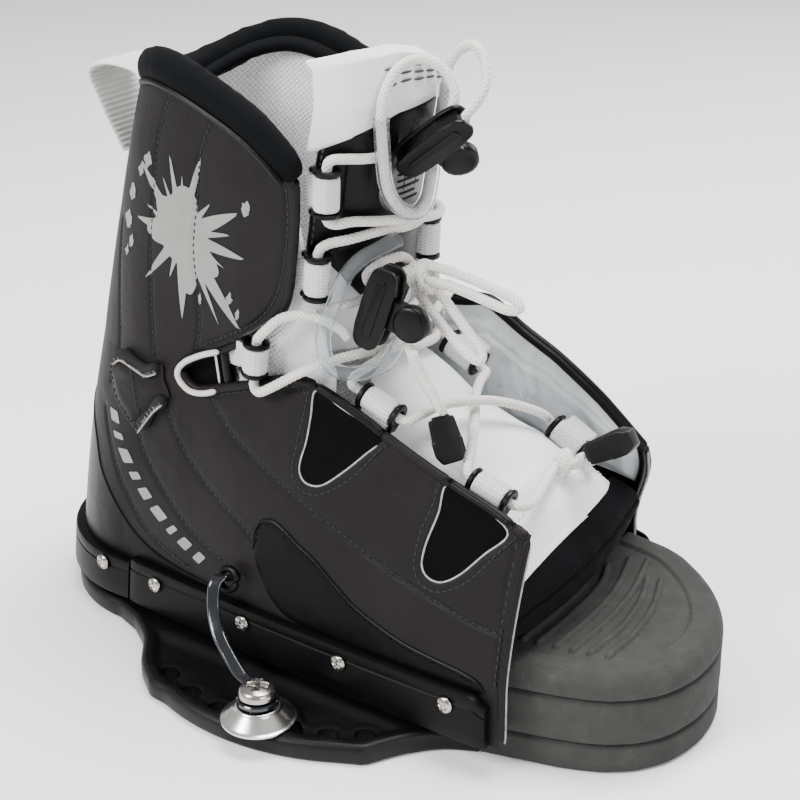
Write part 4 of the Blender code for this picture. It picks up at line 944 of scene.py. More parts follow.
HEEL_A = 41.0
WALL_BASE_Z = 30.0
WALL_FOOT_Z = 9.8
ANKLE_Z = 104.0
NEAR_TOP = ((-48, 104), (-45, 100.5), (-40, 98.5), (-34, 100), (-20, 104.6), (-9, 108.6), (1, 111),
            (10, 109.5), (24, 103.5), (36, 97.5), (57, 89), (75, 84), (88, 79))
FAR_TOP = ((-48, 104), (-45, 100.5), (-38, 98.5), (-26, 101), (-14, 106), (0, 114), (14, 119),
           (28, 121), (40, 113), (55, 105), (71, 94), (88, 78))
NEAR_TOP_HALF = ((-60, 36.5), (-20, 36.0), (10, 33.5), (30, 32.0), (60, 31.5), (88, 34.0))
FAR_TOP_HALF = ((-60, 36.5), (-20, 36.5), (10, 38.0), (40, 41.0), (70, 42.0), (88, 44.0))


def back_x(z):
    return -121.5 + 0.13 * z + 0.0005 * z * z


def top_height(x, side):
    return ramp(x, NEAR_TOP if side < 0 else FAR_TOP)


def half_width(x, z, side):
    if np.ndim(side):
        return np.where(np.asarray(side) > 0, half_width(x, z, 1), half_width(x, z, -1))
    base = 46.3 + 0.045 * x - 0.0003 * x * x
    if side > 0:
        base = base + 16.0 * smooth((x - 5.0) / 72.0)
    top = ramp(x, NEAR_TOP_HALF if side < 0 else FAR_TOP_HALF)
    rise = (z - WALL_BASE_Z) / (np.maximum(top_height(x, side), 78.0) - WALL_BASE_Z)
    lean = np.clip(rise, 0, 1) ** 1.5
    return lerp(base, top, lean) + smooth((z - 120.0) / 60.0)


def wall(x, z, side, off):
    """Points on the boot's side wall over (x, z), pushed outward by off."""
    x, z, off = np.broadcast_arrays(np.asarray(x, float), np.asarray(z, float), np.asarray(off, float))
    centre = back_x(z) + HEEL_A
    w = half_width(np.maximum(x, centre), z, side) + off
    a = np.arccos(np.clip((centre - x) / HEEL_A, 0.0, 1.0))
    on_heel = x < centre
    px = np.where(on_heel, centre - (HEEL_A + off) * np.cos(a), x)
    py = np.where(on_heel, side * w * np.sin(a), side * w)
    return np.stack([px, py, z], -1)


def on_wall(flat, side, off):
    """Wall points over a flat (x, z) line, with their outward directions."""
    on = wall(flat[:, 0], flat[:, 1], side, off)
    return on, unit(wall(flat[:, 0], flat[:, 1], side, off + 1.0) - on)


def wall_line(points, side, off, step=0.8):
    """A smooth curve drawn on the wall, with its outward directions."""
    return on_wall(curve(points, step, 12), side, off)


def toe_front(z, side):
    """Front edge of the lower shell; it stands further back on the inner side."""
    z = np.asarray(z, float)
    return np.full(z.shape, 88.0) if side < 0 else lerp(76.0, 88.0, smooth((z - 36.0) / 42.0))


def cuff_front(z):
    return ramp(z, ((120, -8.0), (126, -6.0), (133, -3.0), (142, 0.0), (158, 2.5), (175, 3.5)))


CUFF_TOP = ((-79, 193), (-74, 195), (-68, 197), (-60, 198.5), (-48, 200.5), (-35, 199.5), (-22, 195),
            (-10, 189.5), (-2, 183.5), (3.5, 177))
CUFF_LOW = ((-48, 104), (-44, 107), (-39, 110), (-30, 114), (-20, 119.5), (-12, 125), (-6, 130.5),
            (-2, 137.5))

SEAMS = [
    [(-85, 80), (-81, 69), (-76, 57), (-71, 49), (-64, 41), (-54, 35), (-42, 31)],
    [(-66, 76), (-63, 69), (-57, 61), (-50, 54), (-42, 47), (-32, 42), (-24, 39), (-17, 36.5)],
    [(-54, 89), (-50, 83), (-46, 77), (-40, 70), (-27, 61), (-19, 57), (-12, 52)],
    [(-34, 97), (-28, 90), (-20, 84), (-2, 75), (15, 68), (35, 60), (55, 54), (74, 50), (85, 49)],
]
CUFF_SEAMS = [
    [(-76, 150), (-77, 125), (-77, 105), (-82, 90)],
    [(-44, 199), (-50, 186), (-53, 171), (-56, 153), (-58, 135), (-59, 106)],
    [(-25, 196), (-32, 183), (-35, 166), (-38, 150), (-38, 136), (-38, 122), (-41, 109)],
]
CUFF_EDGE_SEAM = [(-0.5, 178), (0, 165), (-2, 151), (-6, 138), (-14, 128), (-27, 120), (-39, 113.5)]
TOP_SEAM = [(-33, 97.2), (-26, 100), (-20, 102), (-10, 105.6), (-1, 107.8), (5.5, 107)]
WINDOW_A = [(8.5, 108.6), (7.6, 100), (7, 92), (5.2, 83), (7, 78.8), (11, 77.8), (15.5, 79.4),
            (22, 85), (28, 91.2), (33.2, 97.4), (27, 100.9), (18, 104.6)]
WINDOW_B = [(57.5, 87.6), (56.6, 79), (54.4, 69), (54.2, 62.5), (57, 59.2), (62, 59), (68, 63),
            (75, 71), (81.4, 78.2), (76, 82.4), (67, 85)]
DROP = [(-12, 49), (-11.6, 55), (-9, 60), (-4, 61.6), (1, 60), (8, 56), (14, 53), (23, 47), (31, 42.2),
        (42, 38), (52, 35.5), (63, 34), (73, 33), (79.5, 31.5), (82, 28.4), (78, 27), (60, 26.6),
        (40, 26.6), (20, 27), (4, 28.4), (-4, 33.5), (-9, 41)]
HEEL_LINE = ((-106.4, 84.5), (-102, 79), (-92, 68), (-87, 57), (-81, 49), (-74, 41), (-67, 35.5),
             (-57, 31.5), (-45, 29.5), (-32, 28.5))
HEEL_OUTLINE = list(HEEL_LINE) + [(-32, 20), (-122, 20)]


SKIN_OFF = 1.0
SKIN_SCALE = 0.55


def groove(d):
    """A stitched seam's cut at distance d, and the padding that swells away from it."""
    return -1.15 * bell(d, 0.65) + 0.75 * (1 - np.exp(-d / 5.0))


def relief(x, z, side):
    """Height of the stitched, padded leather over the plain wall."""
    pts = np.stack([x.ravel(), z.ravel()], 1)
    seams = SEAMS + CUFF_SEAMS + ([TOP_SEAM] if side < 0 else [])
    seams += [CUFF_EDGE_SEAM, [(85, 77), (85, 60), (86, 45), (86, 30)]]
    h = groove(np.min([line_distance(pts, catmull(seam, 6)) for seam in seams], axis=0))
    h = h - 0.35 * smooth(0.5 - outline_distance(pts, catmull(HEEL_OUTLINE, 4, True)))
    for outline in (WINDOW_A, WINDOW_B):
        sd = outline_distance(pts, catmull(outline, 6, True))
        band = smooth((sd + 0.3) / 0.6) * smooth((4.6 - sd) / 0.8)
        h = lerp(h, 0.75 - 0.5 * bell(sd - 2.9, 0.5), band)
        h = lerp(h, -0.75 + 0.5 * smooth(-sd / 9.0), smooth(-sd / 0.6 + 0.4))
    sd = outline_distance(pts, catmull(DROP, 6, True))
    h = lerp(h, 0.1, smooth((0.8 - sd) / 1.6))
    px, pz = pts.T
    h += 0.35 * noise_at(np.stack([px, pz, np.full(x.size, side * 9.0)], 1), 17.0)
    crease = noise_at(np.stack([px * 0.35 + pz * 0.5, pz * 0.1 - px * 0.05, np.full(x.size, side * 3.0)], 1),
                      5.0)
    near_ankle = np.exp(-(((px + 52) / 24) ** 2 + ((pz - 96) / 22) ** 2))
    h += 0.55 * crease * near_ankle
    return h.reshape(x.shape)


def upper_side(side, label):
    """Quarter and cuff of one side as one padded leather skin with the ankle slot between them."""
    rows_low = 96
    rows_high = 92
    split_x = -48.0
    s = np.linspace(0, 1, 110)
    top_drop = 2.0 if side > 0 else 0.0

    r_low = np.linspace(0, 1, rows_low)[:, None]
    r_high = np.linspace(0, 1, rows_high)[1:, None]
    z_low = lerp(WALL_FOOT_Z, ANKLE_Z, r_low) * np.ones((1, len(s)))

    def x_left(z):
        return lerp(back_x(z), split_x, 1 - np.cos(math.pi * s[None, :] / 2))

    z_high = np.full((rows_high - 1, len(s)), 150.0)
    for _ in range(3):
        z_high = lerp(ANKLE_Z, ramp(x_left(z_high), CUFF_TOP) - top_drop, r_high)
    left_z = np.vstack([z_low, z_high])
    left_x = x_left(left_z)

    u = np.linspace(0, 1, 124)[None, :]
    quarter_z = np.full((rows_low, 124), 50.0)
    for _ in range(3):
        quarter_x = lerp(split_x, toe_front(quarter_z, side), u)
        quarter_z = lerp(WALL_FOOT_Z, top_height(quarter_x, side), r_low)

    v = np.linspace(0, 1, 66)[None, :]
    r_all = np.linspace(0, 1, rows_high)[:, None]
    cuff_z = np.full((rows_high, 66), 150.0)
    for _ in range(4):
        cuff_x = lerp(split_x, cuff_front(cuff_z), v)
        low = ramp(lerp(split_x, -2.0, v), CUFF_LOW)
        cuff_z = lerp(low, ramp(cuff_x, CUFF_TOP) - top_drop, r_all)
    build = Build()
    for gx, gz in ((left_x, left_z), (quarter_x, quarter_z), (cuff_x, cuff_z)):
        h = relief(gx, gz, side)
        outer = wall(gx, gz, side, SKIN_OFF + SKIN_SCALE * h)
        inner = wall(gx, gz, side, -1.1)
        rows, cols = gx.shape
        faces = grid_faces(rows, cols) + [f[::-1] for f in grid_faces(rows, cols, base=rows * cols)]
        build.add(np.vstack([outer.reshape(-1, 3), inner.reshape(-1, 3)]), faces)
    obj = build.make("upper_leather_" + label, LEATHER, nodes=["quarter_" + label, "cuff_" + label],
                     slot="leather", sharp=70)
    bm = bmesh.new()
    bm.from_mesh(obj.data)
    bmesh.ops.remove_doubles(bm, verts=bm.verts, dist=0.00002)
    bmesh.ops.recalc_face_normals(bm, faces=bm.faces)
    bm.to_mesh(obj.data)
    bm.free()
    obj.data.shade_smooth()


def on_relief(points, side):
    """Relief height, in the skin's own scale, at wall points."""
    pts = np.asarray(points, float)
    return SKIN_OFF + SKIN_SCALE * relief(pts[:, 0].copy(), pts[:, 1].copy(), side)


def patch(name, outline, side, lift, mat, rim, slot="leather"):
    """Thin panel laid on the wall over a closed (x, z) outline, its edge turned down."""
    edge = curve(outline, 0.9, 8, True)
    pts, faces = filled(edge, pitch=1.6)
    off = on_relief(pts, side) + lift * rise(-outline_distance(pts, edge), rim, 0.02)
    make(name, wall(pts[:, 0], pts[:, 1], side, off), faces, mat, slot=slot, sharp=60)


def edge_tube(build, points, side, off, radius, mat):
    """Rolled edge along a curve on the wall."""
    line, outward = wall_line(points, side, off)
    build.tube(line, radius, mat, sides=10, hint=outward[0])


def open_run(ring, keep, step):
    """The unbroken run of a closed ring's kept points, evenly spaced."""
    start = int(np.argmax(~keep & np.roll(keep, -1))) + 1
    return resample(np.roll(ring, -start, axis=0)[:int(keep.sum())], step)


def edge_bindings(side, label):
    """Rolled edges of the quarter and cuff, and the quarter's raw front edge."""
    top = [(x, z - 0.6) for x, z in (NEAR_TOP if side < 0 else FAR_TOP)]
    binding = Build()
    if side < 0:
        line = curve([(-47.6, 103.6)] + top[1:], 0.8)
        for x0, x1, mat in ((-48, 8, 0), (8, 33, 1), (33, 57.5, 0), (57.5, 82, 1), (82, 90, 0)):
            part = line[(line[:, 0] >= x0 - 0.5) & (line[:, 0] <= x1 + 0.5)]
            binding.tube(wall(part[:, 0], part[:, 1], side, 0.35), (1.75, 1.6)[mat], mat, sides=12)
    else:
        edge_tube(binding, top[1:], side, 0.2, 1.5, 1)
    front = [(float(toe_front(z, side)) - 0.4, z) for z in (78.5, 70, 60, 50, 40, 32, 22, 11)]
    edge_tube(binding, front, side, 0.1, 1.35, 0)
    low = list(CUFF_LOW) + [(-0.6, 144), (1.4, 155), (2.6, 165), (3.2, 177)]
    edge_tube(binding, low, side, 0.2, 1.35, 0 if side < 0 else 1)
    line = curve([(float(toe_front(z, side)) + 0.7, z) for z in (76, 66, 56, 46, 36, 26, 11)], 0.8, 8)
    raw = Build().tube(wall(line[:, 0], line[:, 1], side, -0.6), 0.5, sides=6)
    raw.make("raw_front_edge_" + label, PALE_EDGE, slot="leather")
    binding.make("edge_binding_" + label, [LEATHER, BLACK_LEATHER], slot="leather", sharp=60)


def upper_stitching(side, label):
    """Thread sunk in each seam, stitches over it, round the windows and beside the front edge."""
    thread = Build()
    for seam in SEAMS + CUFF_SEAMS + [CUFF_EDGE_SEAM] + ([TOP_SEAM] if side < 0 else []):
        flat = curve(seam, 0.8, 12)
        flat = flat[flat[:, 0] < toe_front(flat[:, 1], side) - 3.0]
        on, out = on_wall(flat, side, on_relief(flat, side))
        thread.tube(on - out * 0.22, 0.34, sides=6)
        stitches(thread, on, out, pitch=2.5, length=1.9, radius=0.37, sink=-0.1)
    for outline in (WINDOW_A, WINDOW_B):
        ring = catmull(outline, 10, True)
        wide = ring + unit(ring - ring.mean(0)) * 3.1
        flat = open_run(wide, wide[:, 1] < top_height(wide[:, 0], side) - 1.2, 0.8)
        stitches(thread, *on_wall(flat, side, on_relief(flat, side)), pitch=2.4, length=2.0, radius=0.34)
    front_x = (85, 85, 85.5, 85.5) if side < 0 else (80, 78, 74, 72)
    flat = curve(list(zip(front_x, (77, 60, 45, 31))), 0.8, 12)
    stitches(thread, *on_wall(flat, side, on_relief(flat, side)), pitch=3.0, length=2.3, radius=0.38)
    thread.make("upper_stitching_" + label, THREAD, slot="leather", sharp=80)


def upper_panels(side, label):
    """Stretch windows with pale edges, and the glossy side panel with its piping."""
    patch("window_a_" + label, WINDOW_A, side, 0.12, STRETCH, 0.4, slot="neoprene")
    patch("window_b_" + label, WINDOW_B, side, 0.12, STRETCH, 0.4, slot="neoprene")
    patch("side_panel_" + label, DROP, side, 0.55, GLOSS_PANEL, 1.2)
    trim = Build()
    for outline in (WINDOW_A, WINDOW_B):
        ring = catmull(outline, 10, True)
        flat = open_run(ring, ring[:, 1] < top_height(ring[:, 0], side) - 1.0, 0.6)
        trim.tube(wall(flat[:, 0], flat[:, 1], side, 1.15), 0.32, sides=6)
    trim.make("window_edges_" + label, PALE_EDGE, slot="leather")
    ring = catmull(DROP[:15], 10)
    flat = resample(ring, 0.8)
    piping = Build().tube(wall(flat[:, 0], flat[:, 1], side, on_relief(flat, side) + 0.25), 0.55, sides=8)
    flat = resample((ring + [0.6, -1.6])[6:-14], 0.8)
    stitches(piping, *on_wall(flat, side, on_relief(flat, side) + 0.5), pitch=2.8, length=2.2, radius=0.3)
    piping.make("panel_piping_" + label, BLACK_LEATHER, slot="leather")


def uppers():
    for side, label in SIDES:
        upper_side(side, label)
        edge_bindings(side, label)
        upper_stitching(side, label)
        upper_panels(side, label)


uppers()


def heel_counter():
    """Glossy dark counter wrapped round the heel below its curved seam."""
    x_front = -32.0
    cols = 200
    t = np.linspace(-1, 1, cols)
    side = np.where(t < 0, -1.0, 1.0)
    rows = 36
    points = np.zeros((rows, cols, 3))
    for j in range(cols):
        a = abs(t[j])
        z = np.full(rows, 40.0)
        r = np.linspace(0, 1, rows)
        for _ in range(4):
            x = lerp(back_x(z), x_front, 1 - math.cos(math.pi * a / 2))
            z = lerp(21.0, ramp(x, HEEL_LINE), r)
        edge = np.minimum((1 - r) * (ramp(x, HEEL_LINE) - 21.0), 3.0)
        off = SKIN_OFF + SKIN_SCALE * 0.35 + 0.25 * rise(edge, 1.2, 0.03)
        points[:, j] = wall(x, z, side[j], off)
    make("heel_counter", points.reshape(-1, 3), grid_faces(rows, cols), HEEL_PANEL, slot="leather", sharp=80)
    halves = [(NEAR, curve(HEEL_LINE[::-1], 0.8)), (FAR, curve(HEEL_LINE, 0.8))]
    line = np.vstack([wall(flat[:, 0], flat[:, 1], s, 1.35) for s, flat in halves])
    edge = Build().tube(resample(line, 0.9), 0.5, sides=8)
    edge.make("heel_counter_edge", BLACK_LEATHER, slot="leather")


heel_counter()


# ---------------------------------------------------------------- printed marks

def splash_outline(centre, radius, spikes, wobble, seed, count=240):
    """Ink splash: a lumpy blob with tapering spikes at chosen angles."""
    draw = np.random.RandomState(seed)
    a = np.linspace(0, 2 * math.pi, count, endpoint=False)
    r = np.full(count, float(radius))
    for k in range(2, 9):
        r += wobble / k * math.sqrt(k) * np.sin(k * a + draw.uniform(0, 6.28))
    for angle, reach, width in spikes:
        d = (a - math.radians(angle) + math.pi) % (2 * math.pi) - math.pi
        r = np.maximum(r, radius * 0.8 + reach * np.clip(1 - np.abs(d) / math.radians(width), 0, 1) ** 1.7)
    return np.stack([centre[0] + r * np.cos(a), centre[1] + r * 1.15 * np.sin(a)], 1)


PRINT_LIFT = 0.17


def printed(name, outlines, side, mat):
    """Flat marks that follow the leather's relief."""
    build = Build()
    for edge in outlines:
        pts, faces = filled(resample(np.vstack([edge, edge[:1]]), 0.5)[:-1], pitch=0.9)
        off = on_relief(pts, side) + PRINT_LIFT
        build.add(wall(pts[:, 0], pts[:, 1], side, off), faces)
    build.make(name, mat, slot="leather", sharp=80)


def marks():
    """Plain ink splash on the cuff and slanted dashes along the heel, without lettering."""
    splash = [splash_outline((-42, 153), 12.0, (
        (22, 17, 15), (40, 8, 7), (8, 12, 7), (-8, 17, 12), (-24, 9, 6), (-50, 25, 15), (-63, 19, 7),
        (-96, 17, 14), (-116, 7, 6), (-138, 15, 10), (176, 12, 12), (158, 8, 6), (133, 17, 12),
        (112, 9, 5), (97, 15, 7), (84, 8, 5), (68, 18, 8)), 3.2, 3)]
    for cx, cz, r, seed in ((-66, 162, 2.1, 4), (-69, 152, 2.4, 5), (-67, 145, 1.4, 6), (-60, 171, 1.5, 7),
                            (-15, 166, 1.7, 8), (-24, 134, 1.3, 9), (-21, 129, 0.9, 10),
                            (-56, 175, 1.9, 11), (-70, 141, 1.0, 12), (-37, 131, 1.1, 13)):
        splash.append(splash_outline((cx, cz), r, ((70, 1.6, 40), (250, 1.2, 50)), 0.3, seed, 40))
    printed("splash_print", splash, NEAR, PRINT)
    route = [(-79.5, 84), (-75, 71), (-66.5, 58), (-56, 48.5), (-44, 41), (-28.5, 33.8)]
    path = curve(route, 0.5, 12)
    slant = unit(np.gradient(path, axis=0)) * 1.6
    across = left_of(path) * 2.3
    dashes = []
    at = 4
    for long in (9, 5, 11, 6, 9, 12, 5, 9, 7):
        i, j = at, min(at + long, len(path) - 1)
        quad = [path[i] - across[i], path[j] - across[j], path[j] + across[j] + slant[j],
                path[i] + across[i] + slant[i]]
        dashes.append(rounded(quad, 0.5, 2))
        at += long + 7
    printed("heel_dashes", dashes, NEAR, PRINT)


marks()


# ---------------------------------------------------------------- strap tunnel and ankle slot

TUNNEL = [(-80.5, 94), (-79, 99), (-72, 103), (-66, 102), (-60, 101), (-54.5, 104), (-53.5, 99),
          (-51, 93.5), (-55, 91), (-61, 84), (-65, 78), (-70, 80.5), (-76.5, 86)]


def tunnel_off(flat, edge):
    """Height of the tunnel over the plain wall: domed, and flared towards both open ends."""
    d = -outline_distance(flat, edge)
    s = (flat - np.array([-66, 91])) @ np.array([0.36, -0.93])
    bulge = 1.3 * smooth(d / 5.0) + 1.5 * smooth((np.abs(s) - 5.0) / 6.0) * smooth(d / 1.0)
    return on_relief(flat, NEAR) + 0.7 + bulge


def tunnel():
    """Sewn-on strap tunnel behind the ankle, open and frayed at both ends, with near-black tubes in its open ends as
    painted shade.
    """
    edge = curve(TUNNEL, 0.8, 8, True)
    pts, faces = filled(edge, pitch=1.3)
    verts = wall(pts[:, 0], pts[:, 1], NEAR, tunnel_off(pts, edge))
    make("strap_tunnel", verts, faces, LEATHER, slot="leather", sharp=70)
    # Near-black tubes along both open ends: painted shade standing for the shadow inside the tunnel.
    mouth_shade = Build()
    fray = Build()
    for path in ([(-76, 100.6), (-72, 103.4), (-66.5, 102.6), (-60.5, 101), (-55.5, 103)],
                 [(-64, 79.4), (-60.5, 84), (-56.5, 89), (-52.5, 92.6)]):
        flat = curve(path, 0.7)
        on = wall(flat[:, 0], flat[:, 1], NEAR, 2.6)
        mouth_shade.tube(on, 1.9 + 0.35 * np.sin(np.linspace(0, 9, len(on))), sides=10)
        brink = wall(flat[:, 0] + 0.3, flat[:, 1] - 1.5, NEAR, 4.3)
        fray.tube(brink, 0.34, sides=8)
        for _ in range(int(len(on) * 1.6)):
            i = RNG.randint(1, len(brink) - 1)
            start = brink[i] + RNG.normal(0, 0.25, 3)
            tip = start + np.array([RNG.normal(0, 0.5), -0.5 - RNG.rand() * 0.6, 0.5 + RNG.rand() * 1.2])
            fray.tube(np.linspace(start, tip, 4), 0.09, sides=4)
    mouth_shade.make("tunnel_mouth_shade", PAINTED_GAP_SHADE, slot="neoprene")
    fray.make("tunnel_frayed_edges", PALE_EDGE, slot="leather")
    thread = Build()
    for seam in ([(-77, 99), (-78, 91), (-74, 85), (-68.5, 81), (-64.5, 82)],
                 [(-67, 100.5), (-66, 94), (-65, 88), (-63.5, 84.5)]):
        flat = curve(seam, 0.7)
        stitches(thread, *on_wall(flat, NEAR, tunnel_off(flat, edge)), pitch=2.4, length=2.0, radius=0.34)
    thread.make("tunnel_stitching", THREAD, slot="leather")


tunnel()


def ankle_slot():
    """Piped slot in front of the ankle, with black stretch backing and the strap's slider bars."""
    backing = [(-48, 104), (-45, 98.5), (-40, 96), (-33, 97.5), (-27.5, 101), (-25, 106), (-26, 113),
               (-31, 116.5), (-40, 112.5)]
    route = [(-29, 114.6), (-34.5, 112.6), (-40, 110), (-44.5, 107.2), (-47.4, 103.6), (-46.6, 100.4),
             (-43.6, 98), (-40, 97.3), (-35.5, 98.2), (-31, 100)]
    inner_route = [(x - 0.6, z + 0.2) for x, z in route[1:9]]
    pts, faces = filled(curve(backing, 1.0, 6, True), pitch=2.0)
    for side, label in SIDES:
        make("slot_backing_" + label, wall(pts[:, 0], pts[:, 1], side, -1.6), faces, STRETCH, slot="neoprene")
        piping = Build().tube(wall_line(route, side, 2.3, 0.7)[0], 1.05, sides=10)
        piping.make("slot_piping_" + label, PIPING, slot="webbing")
        slider = Build()
        for mat, x, radius, off in ((0, -29.0, 1.5, -0.4), (1, -32.2, 0.6, 0.4)):
            bar = wall(np.linspace(x, x + 1.6, 12), np.linspace(115.5, 101.5, 12), side, off)
            slider.tube(bar, radius, mat, sides=10)
        slider.make("slot_slider_" + label, [PLASTIC, STEEL], slot="clip")
        black = Build().tube(wall_line(inner_route, side, 0.7, 0.7)[0], 1.5, sides=10)
        black.make("slot_edge_" + label, LEATHER, slot="leather")


ankle_slot()


# ---------------------------------------------------------------- soft parts

def grid_piece(name, outer, inner, mats, **kw):
    """Closed sheet from two matching grids, its UV measured in millimetres over the outer face."""
    rows, cols = outer.shape[:2]
    du = np.linalg.norm(np.diff(outer, axis=1), axis=2)
    dv = np.linalg.norm(np.diff(outer, axis=0), axis=2)
    u = np.hstack([np.zeros((rows, 1)), np.cumsum(du, axis=1)])
    u = u - u[:, cols // 2:cols // 2 + 1]
    v = np.vstack([np.zeros((1, cols)), np.cumsum(dv, axis=0)])
    uv = np.stack([u, v], -1).reshape(-1, 2)
    verts, faces = shell(outer, inner)
    return make(name, verts, faces, mats, uv=np.vstack([uv, uv]), **kw)


def station(t, z, front):
    """X of a wall point: t 0 is the heel line, 1 the end of the heel curve, 2 the front."""
    centre = back_x(z) + HEEL_A
    return np.where(t <= 1, centre - HEEL_A * np.cos(np.minimum(t, 1) * math.pi / 2),
                    lerp(centre, front, np.maximum(t - 1, 0)))


def inflate(obj, voxel, cap, shrink):
    """Swell a padded piece by cloth simulation, holding every point within cap of where it began."""
    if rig.quick():
        return
    mesh = obj.data
    bm = bmesh.new()
    bm.from_mesh(mesh)
    bm.normal_update()
    for v in bm.verts:
        v.co -= v.normal * shrink * MM
    bm.to_mesh(mesh)
    bm.free()
    remesh = obj.modifiers.new("voxels", "REMESH")
    remesh.mode = "VOXEL"
    remesh.voxel_size = voxel * MM
    graph = bpy.context.evaluated_depsgraph_get()
    start = bpy.data.meshes.new_from_object(obj.evaluated_get(graph))
    start.name = mesh.name + "_pad"
    obj.modifiers.clear()
    mats = list(mesh.materials)
    obj.data = start
    start.materials.clear()
    for m in mats:
        start.materials.append(m)
    count = len(start.vertices)
    before = np.zeros(count * 3)
    start.vertices.foreach_get("co", before)
    cloth = obj.modifiers.new("swell", "CLOTH")
    cloth.settings.quality = 6
    cloth.settings.mass = 0.2
    cloth.settings.tension_stiffness = 12.0
    cloth.settings.compression_stiffness = 12.0
    cloth.settings.shear_stiffness = 6.0
    cloth.settings.bending_stiffness = 0.3
    cloth.settings.use_pressure = True
    cloth.settings.uniform_pressure_force = 4.0
    cloth.settings.effector_weights.gravity = 0
    cloth.collision_settings.use_collision = False
    scene = bpy.context.scene
    for frame_number in range(1, 21):
        scene.frame_set(frame_number)
    graph = bpy.context.evaluated_depsgraph_get()
    swollen = bpy.data.meshes.new_from_object(obj.evaluated_get(graph))
    after = np.zeros(count * 3)
    swollen.vertices.foreach_get("co", after)
    obj.modifiers.clear()
    scene.frame_set(1)
    move = (after - before).reshape(-1, 3)
    far = np.linalg.norm(move, axis=1, keepdims=True)
    move *= np.minimum(1.0, cap * MM / np.maximum(far, 1e-9))
    start.vertices.foreach_set("co", (before.reshape(-1, 3) + move).ravel())
    start.update()
    start.shade_smooth()
    smoother = obj.modifiers.new("smooth", "SUBSURF")
    smoother.levels = 1
    smoother.render_levels = 1


def liner():
    """Padded inner boot wall from the sole to just under the collar, open in front."""
    top = ((0, 191.0), (0.5, 197.0), (1.0, 202.0), (1.35, 197.0), (1.6, 188.0), (1.74, 178.0),
           (1.85, 150.0), (2.0, 114.0))
    t = np.concatenate([-np.linspace(2, 0, 90), np.linspace(0, 2, 90)[1:]])
    side = np.where(t < 0, -1.0, 1.0)
    r = np.linspace(0, 1, 70)[:, None]
    z = lerp(31.4, ramp(np.abs(t), top)[None, :], r)
    x = station(np.abs(t)[None, :] + 0 * z, z, 12.0)
    edge = np.minimum(np.minimum(1 - r, 1.0) * 60, 10.0)
    front = np.clip((2.0 - np.abs(t)[None, :]) * 40, 0, 10)
    puff = smooth(edge / 9.0) * smooth(front / 9.0) * smooth((z - 60) / 50)
    quilt = 0.5 * noise_at(np.stack([x, z, 0 * z + 4.0 * side], -1), 14.0)
    outer = wall(x, z, side[None, :] + 0 * z, -2.75)
    inner = wall(x, z, side[None, :] + 0 * z, -4.6 - 2.6 * puff - quilt * puff)
    obj = grid_piece("liner_pad", inner, outer, MESH, nodes=["liner"], slot="mesh", sharp=80)
    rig.padded(obj, fill=0.5)


def collar():
    """Padded roll round the top of the shaft, ending in two rounded lobes beside the tongue."""
    near = [(4.2, -35.2, 177), (0.5, -36.2, 182), (-5, -37, 188), (-14, -37.4, 194.5), (-27, -37.4, 200.6),
            (-39, -36.7, 204.8), (-50.5, -33.6, 206.2), (-61.6, -26.6, 203.4), (-69.2, -14.2, 198.6)]
    far = [(x, -y, z - 2.0) for x, y, z in reversed(near)]
    line = curve(near + [(-71.6, 0, 194.5)] + far, 1.0, 14)
    s = np.linspace(-1, 1, len(line))
    end = np.clip((1 - np.abs(s)) * 14, 0, 1)
    radius = 6.6 * np.sqrt(1 - (1 - end) ** 2 * 0.85)
    radius = radius * (1 + 0.05 * noise_at(line, 16.0)) - 0.6 * smooth((np.abs(s) - 0.7) / 0.3)
    verts, faces, _ = tube(line, radius, sides=28, flat=0.74)
    obj = make("collar_roll", verts, faces, NEOPRENE, nodes=["collar"], slot="neoprene", sharp=80)
    inflate(obj, 2.4, 2.2, shrink=0.3)
    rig.padded(obj, fill=0.7)
    out = unit(np.column_stack([0.25 * (line[:, 0] + 30) / 40, line[:, 1] / 30, 0 * line[:, 0]]))
    seam = line + out * 3.9 - np.array([0, 0, 4.6])
    Build().tube(seam[6:-6], 1.1, sides=8).make("collar_binding", BLACK_LEATHER, slot="neoprene")
    inner = line - out * 5.2 - np.array([0, 0, 2.4])
    loose = Build().tube(inner[20:-20], 2.6, sides=12, flat=1.3)
    inner_roll = loose.make("collar_inner_roll", NEOPRENE, slot="neoprene")
    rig.padded(inner_roll, fill=0.6)


VAMP_SEAM_X = 74.2
VAMP_CREST = ((18, 112.0), (27, 105.5), (37, 98.0), (57, 88.0), (70, 80.0), (78, 71.0), (82, 62.5))


def vamp_point(x, u, off):
    a = u * math.pi / 2
    crest = ramp(x, VAMP_CREST)
    base = lerp(52.0, 45.0, (x - 27.0) / 55.0) + np.where(u < 0, 0.0, 10.5 * smooth((x - 58.0) / 24.0))
    half = np.where(u < 0, lerp(31.0, 39.5, smooth((x - 27.0) / 40.0)),
                    lerp(33.0, 43.0, smooth((x - 27.0) / 50.0)) - 2.2 * smooth((x - 58.0) / 24.0))
    y = 1.0 + (half + off) * np.sign(u) * np.abs(np.sin(a)) ** 0.9
    z = base + (crest - base + off) * np.maximum(0.0, np.cos(a)) ** 0.75
    return np.stack([x + 0 * u, y, z], -1)


